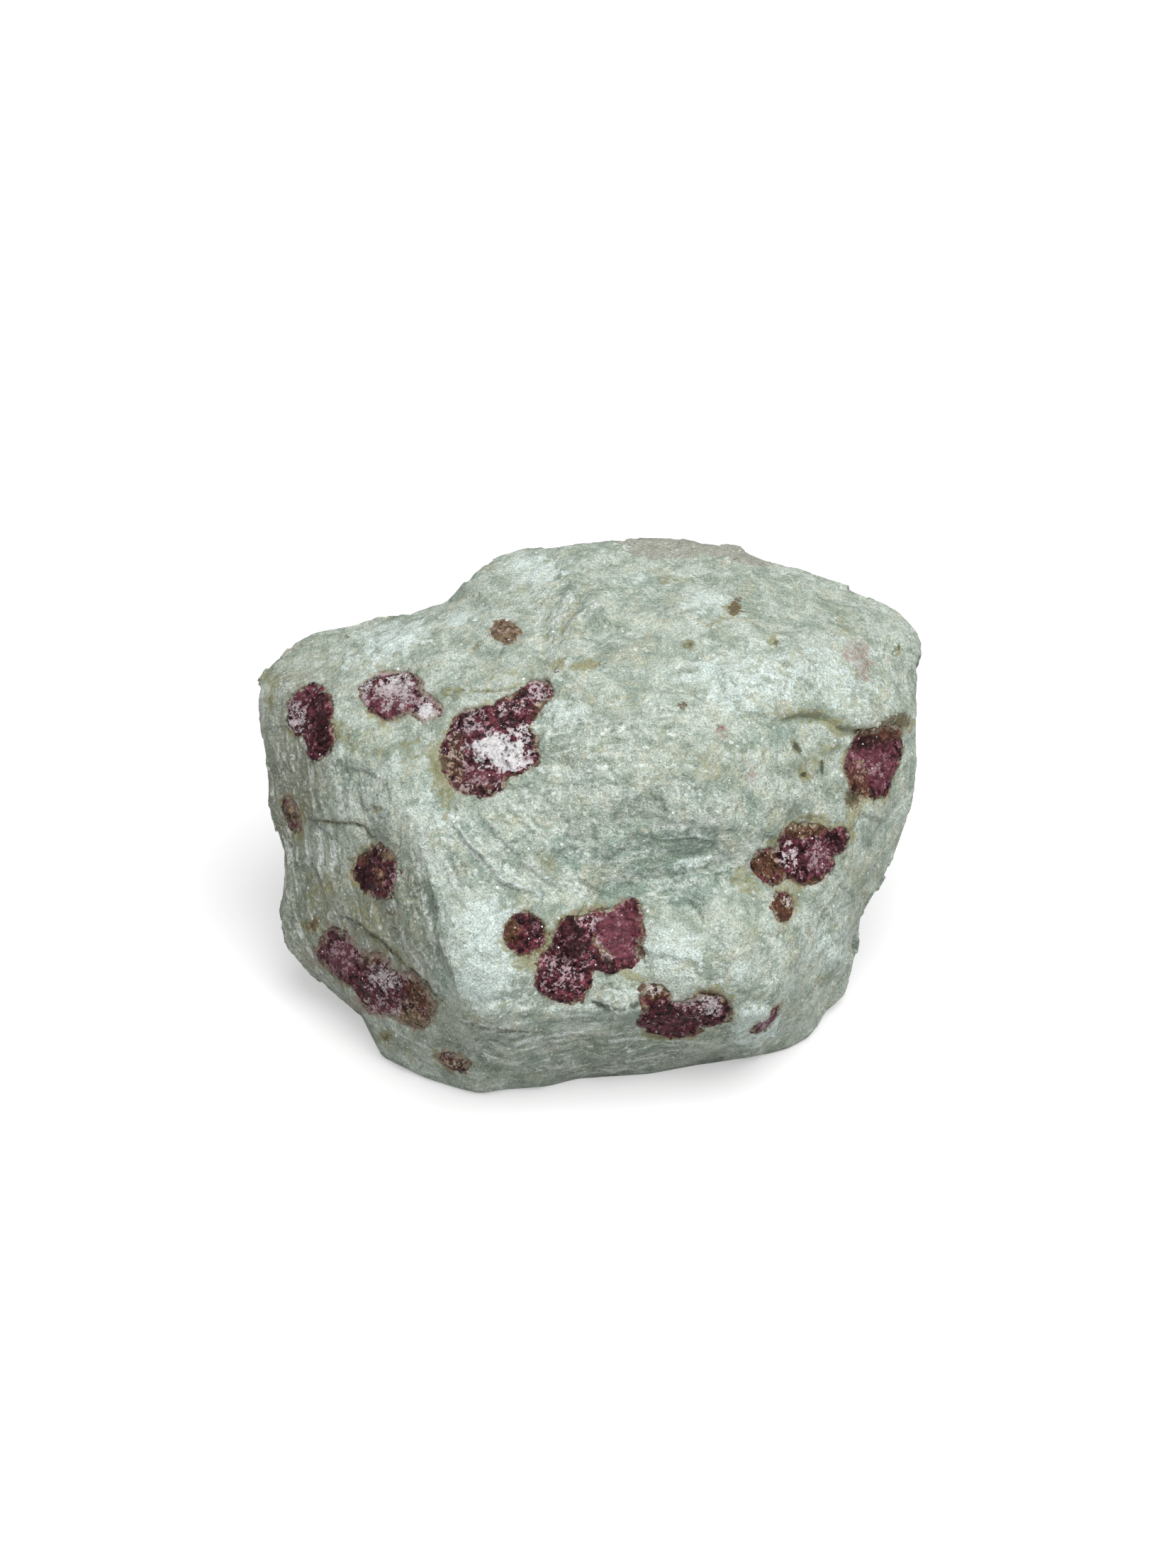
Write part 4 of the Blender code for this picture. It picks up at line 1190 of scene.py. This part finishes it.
# %% Effects, masks and layers in a material
def effect(tree, group, **inputs):
    """Places a shared effect in a material with its own values."""
    return put_in(tree, "Group", inputs, node_tree=group).outputs


def painted(tree, name):
    """A mask that was painted on the points."""
    return put_in(tree, "Attribute", attribute_name=name).outputs["Fac"]


def blend(tree, mask, below, above, mode="MIX"):
    """One colour over another where the mask is 1."""
    inputs = {0: mask, 6: below, 7: above}
    return put_in(tree, "Mix", inputs, data_type="RGBA", blend_type=mode).outputs[2]


def patchy(tree, name, size, amount):
    """A painted mask with its edge broken up by specks of this size."""
    return effect(tree, RAGGED, Mask=painted(tree, name), Size=size, Amount=amount)["Mask"]


def cloudy(tree, size, low, high):
    """Blotches of this size, fewer where both limits are higher."""
    return effect(tree, BLOTCHES, Size=size, Low=low, High=high)["Mask"]


def layer(tree, below, mask, share, colour):
    """A colour laid over what is below, as thick as its mask and its share say."""
    return blend(tree, scaled(tree, mask, 0.0, 1.0, 0.0, share), below, tint(colour))


def shaded(tree, colour, brightness):
    """The colour made darker or lighter by this brightness."""
    grey = put_in(tree, "CombineColor", {0: brightness, 1: brightness, 2: brightness}).outputs[0]
    return blend(tree, 1.0, colour, grey, "MULTIPLY")


def dots(tree, apart, share):
    """1 in small round dots that lie some millimetres apart, each this share of that distance wide."""
    spots = {"Vector": object_places(tree), "Scale": 1000.0 / apart, "Randomness": 1.0}
    away = put_in(tree, "TexVoronoi", spots, feature="F1").outputs["Distance"]
    return scaled(tree, away, share * 1.15, share * 0.85, 0.0, 1.0)


def finished(tree, out, colour, rough, bump, shine):
    """Joins colour, roughness and bump in one shader, and sends it to the material's output."""
    inputs = {"Base Color": colour, "Roughness": rough, "Normal": bump.outputs[0]}
    shader = put_in(tree, "BsdfPrincipled", inputs)
    shader.inputs["Specular IOR Level"].default_value = shine
    tree.links.new(shader.outputs[0], out.inputs["Surface"])


print("effects:", [group.name for group in (GRAINS, BLOTCHES, RAGGED)])

# %% [markdown]
# ## The rock's finish
#
# Seen close, the rock is white grains in a grey-green ground, and from further away it is cloudy
# mint. The finish is built up like that: a cloudy ground with painted highlights and painted shade
# in it, fibres drawn over it, grains lighter and darker than the ground, and then the stains, more
# painted shade in the cracks and painted glints.

# %% Pale green rock
ROCK_BUMP = 0.16 * MM
ROCK_SHINE = 0.45


def rock_finish():
    """The pale green, sugary rock with its stains."""
    material, tree, out = new_material("pale_green_rock")

    clouds = cloudy(tree, 2.6, 0.38, 0.60)
    ground = blend(tree, clouds, tint("#a2afa0"), tint("#ccd6ca"))
    ground = layer(tree, ground, cloudy(tree, 1.9, 0.50, 0.66), 0.55, "#c8c8ae")
    ground = layer(tree, ground, cloudy(tree, 0.9, 0.54, 0.66), 0.50, "#829b91")
    ground = layer(tree, ground, patchy(tree, "teal", 1.0, 0.9), 0.60, "#879f91")
    # Partly painted highlight: the chalk mask also lightens the arrises, ledge lips and lit swelling
    ground = layer(tree, ground, patchy(tree, "chalk_and_highlight", 0.9, 0.8), 0.75, "#e0efea")
    # Partly painted shade: the grey mask darkens the left face and the foot as well as greying them
    ground = layer(tree, ground, painted(tree, "grey"), 0.70, "#8a8a74")
    ground = layer(tree, ground, patchy(tree, "taupe", 0.5, 0.3), 0.80, "#abaa9d")

    fibre = painted(tree, "fibre")
    ground = layer(tree, ground, scaled(tree, fibre, 0.10, 0.7, 0.0, 1.0), 0.70, "#edf4f0")
    ground = layer(tree, ground, scaled(tree, fibre, -0.10, -0.8, 0.0, 1.0), 0.58, "#6f8278")

    sugar = effect(tree, GRAINS, Size=0.30, Tilt=0.9)
    fine = effect(tree, GRAINS, Size=0.15, Tilt=0.7)
    clouded = scaled(tree, fine["Fine"], 0.30, 0.70, 0.52, 1.34)
    shade = reckon(tree, "MULTIPLY", clouded, scaled(tree, sugar["Tone"], 0.0, 1.0, 0.86, 1.12))
    ground = shaded(tree, ground, shade)
    clusters = cloudy(tree, 2.4, 0.50, 0.64)
    bright = reckon(tree, "MULTIPLY", scaled(tree, sugar["Tone"], 0.80, 0.92, 0, 1), clusters)
    ground = layer(tree, ground, bright, 0.6, "#f2f6f3")

    ground = layer(tree, ground, patchy(tree, "olive", 0.60, 0.8), 0.58, "#8f884e")
    ground = layer(tree, ground, patchy(tree, "brown", 0.35, 0.9), 0.80, "#5f4a28")
    some_grains = scaled(tree, sugar["Tone"], 0.2, 0.7, 0.2, 1.0)
    pink_grains = reckon(tree, "MULTIPLY", patchy(tree, "blush", 0.5, 1.0), some_grains)
    ground = layer(tree, ground, pink_grains, 0.65, "#9c7366")
    # Painted shade: the dark mask darkens cracks, pits and the feet of the ledges and of the flake
    ground = layer(tree, ground, patchy(tree, "dark", 0.30, 0.5), 0.75, "#3f4232")
    ground = layer(tree, ground, dots(tree, 2.3, 0.040), 0.85, "#23251d")
    # Painted glints: white dots in the colour, where the roughness is also lower
    painted_glints = dots(tree, 2.3, 0.058)
    ground = layer(tree, ground, painted_glints, 1.0, "#ffffff")

    hackle = cloudy(tree, 0.9, 0.30, 0.70)
    facets = effect(tree, GRAINS, Size=0.7, Tilt=0.9)
    heights = reckon(tree, "ADD", sugar["Height"], fine["Height"])
    heights = reckon(tree, "MULTIPLY_ADD", fibre, 0.6, heights)
    heights = reckon(tree, "ADD", heights, facets["Height"])
    heights = reckon(tree, "MULTIPLY_ADD", hackle, 1.1, heights)
    bump = put_in(tree, "Bump", {"Strength": 0.8, "Distance": ROCK_BUMP, "Height": heights})
    rough = scaled(tree, sugar["Tone"], 0.0, 1.0, 0.85, 0.5)
    rough = reckon(tree, "SUBTRACT", rough, reckon(tree, "MULTIPLY", painted_glints, 0.35))
    finished(tree, out, ground, rough, bump, ROCK_SHINE)
    return material


pale_green = rock_finish()
print(pale_green.name, "has", len(pale_green.node_tree.nodes), "nodes")

# %% [markdown]
# ## The crystals' finish
#
# A crushed grain scatters the light and looks white, and a whole one lets it in and looks almost
# black. So the same grains that give the relief also choose the colour, and the frost mask says
# how many of them are white. Towards its rim a crystal fades into the tan of the stained rock.

# %% Pink tourmaline
CRYSTAL_BUMP = 0.18 * MM
CRYSTAL_SHINE = 0.22
# Mask, size and strength of its ragged edge, share, colour
CRYSTAL_TINTS = [
    ("rosy", 0.6, 0.7, 0.65, "#804854"),
    ("rust", 0.6, 0.7, 0.80, "#674730"),
    ("tan", 0.5, 0.8, 0.85, "#87755a"),
    ("deep", 0.6, 0.6, 0.85, "#2d0a0f"),
]


def crystal_finish():
    """Dark pink tourmaline, frosted where its grains were crushed."""
    material, tree, out = new_material("pink_tourmaline")

    depth = cloudy(tree, 0.55, 0.40, 0.60)
    body = blend(tree, depth, tint("#29070f"), tint("#763943"))
    masks = {}
    for name, size, amount, share, tone in CRYSTAL_TINTS:
        masks[name] = patchy(tree, name, size, amount)
        body = layer(tree, body, masks[name], share, tone)
    streak = painted(tree, "streak")
    body = shaded(tree, body, scaled(tree, streak, -0.8, 0.8, 0.72, 1.25))

    large = effect(tree, GRAINS, Size=0.52, Tilt=1.0)
    small = effect(tree, GRAINS, Size=0.20, Tilt=0.8)
    by_large = scaled(tree, large["Tone"], 0.0, 1.0, 0.6, 1.3)
    by_small = scaled(tree, small["Tone"], 0.0, 1.0, 0.55, 1.35)
    body = shaded(tree, body, reckon(tree, "MULTIPLY", by_large, by_small))

    speck = reckon(tree, "MULTIPLY_ADD", large["Tone"], 0.42, reckon(tree, "MULTIPLY", small["Tone"], 0.38))
    speck = reckon(tree, "MULTIPLY_ADD", small["Fine"], 0.6, reckon(tree, "SUBTRACT", speck, 0.2))
    frost = painted(tree, "frost")
    threshold = scaled(tree, frost, 0.0, 1.0, 0.75, 0.10)
    white = scaled(tree, reckon(tree, "SUBTRACT", speck, threshold), 0.0, 0.12, 0.0, 0.9)
    tinged = blend(tree, masks["rust"], tint("#b59aa2"), tint("#b09c86"))
    milky = blend(tree, scaled(tree, frost, 0.3, 0.8, 0.0, 1.0), tinged, tint("#e9e7e8"))
    milky = shaded(tree, milky, scaled(tree, small["Fine"], 0.3, 0.7, 0.70, 1.15))
    white = reckon(tree, "MULTIPLY", white, scaled(tree, masks["deep"], 0.0, 1.0, 1.0, 0.35))
    colour = blend(tree, white, body, milky)
    colour = shaded(tree, colour, scaled(tree, large["Fine"], 0.36, 0.44, 0.22, 1.0))
    haze = reckon(tree, "MULTIPLY", masks["rosy"], scaled(tree, masks["deep"], 0.0, 1.0, 1.0, 0.2))
    haze = reckon(tree, "MULTIPLY", haze, scaled(tree, masks["tan"], 0.0, 1.0, 1.0, 0.0))
    colour = layer(tree, colour, haze, 0.36, "#6e3a46")

    some_grains = scaled(tree, small["Tone"], 0.0, 1.0, 0.3, 1.0)
    rim = reckon(tree, "MULTIPLY", patchy(tree, "rim", 0.4, 0.8), some_grains)
    rim = reckon(tree, "MULTIPLY", rim, scaled(tree, masks["deep"], 0.0, 1.0, 1.0, 0.4))
    colour = layer(tree, colour, rim, 0.75, "#84715a")
    pale_grains = reckon(tree, "MULTIPLY", rim, scaled(tree, large["Tone"], 0.50, 0.62, 0.0, 1.0))
    colour = layer(tree, colour, pale_grains, 0.75, "#a9aa97")
    most_grains = scaled(tree, small["Tone"], 0.0, 0.7, 0.4, 1.0)
    veil = reckon(tree, "MULTIPLY", patchy(tree, "veil", 0.6, 0.7), most_grains)
    colour = layer(tree, colour, veil, 0.80, "#9a8c80")
    # Painted glints: white dots in the colour, where the roughness is also lower
    painted_glints = dots(tree, 1.1, 0.07)
    colour = layer(tree, colour, painted_glints, 0.9, "#ffffff")

    heights = reckon(tree, "ADD", large["Height"], small["Height"])
    bump = put_in(tree, "Bump", {"Strength": 0.9, "Distance": CRYSTAL_BUMP, "Height": heights})
    rough = scaled(tree, large["Tone"], 0.0, 1.0, 0.25, 0.70)
    rough = reckon(tree, "SUBTRACT", rough, reckon(tree, "MULTIPLY", painted_glints, 0.15))
    finished(tree, out, colour, rough, bump, CRYSTAL_SHINE)
    return material


dark_pink = crystal_finish()
print(dark_pink.name, "has", len(dark_pink.node_tree.nodes), "nodes")

# %% [markdown]
# ## Dressing the pieces
#
# Each new piece gets its material and rides on the one body that there is, and the solid of the
# frame that it stands for is hidden, so that the piece is shown in its place.

# %% Dress the pieces and hide the solids they stand for
rock.data.materials.append(pale_green)
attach(rock, "root")
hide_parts("matrix")

for node, crystal in crystals.items():
    crystal.data.materials.append(dark_pink)
    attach(crystal, "root")
    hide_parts(node)
print("dressed pieces:", 1 + len(crystals))
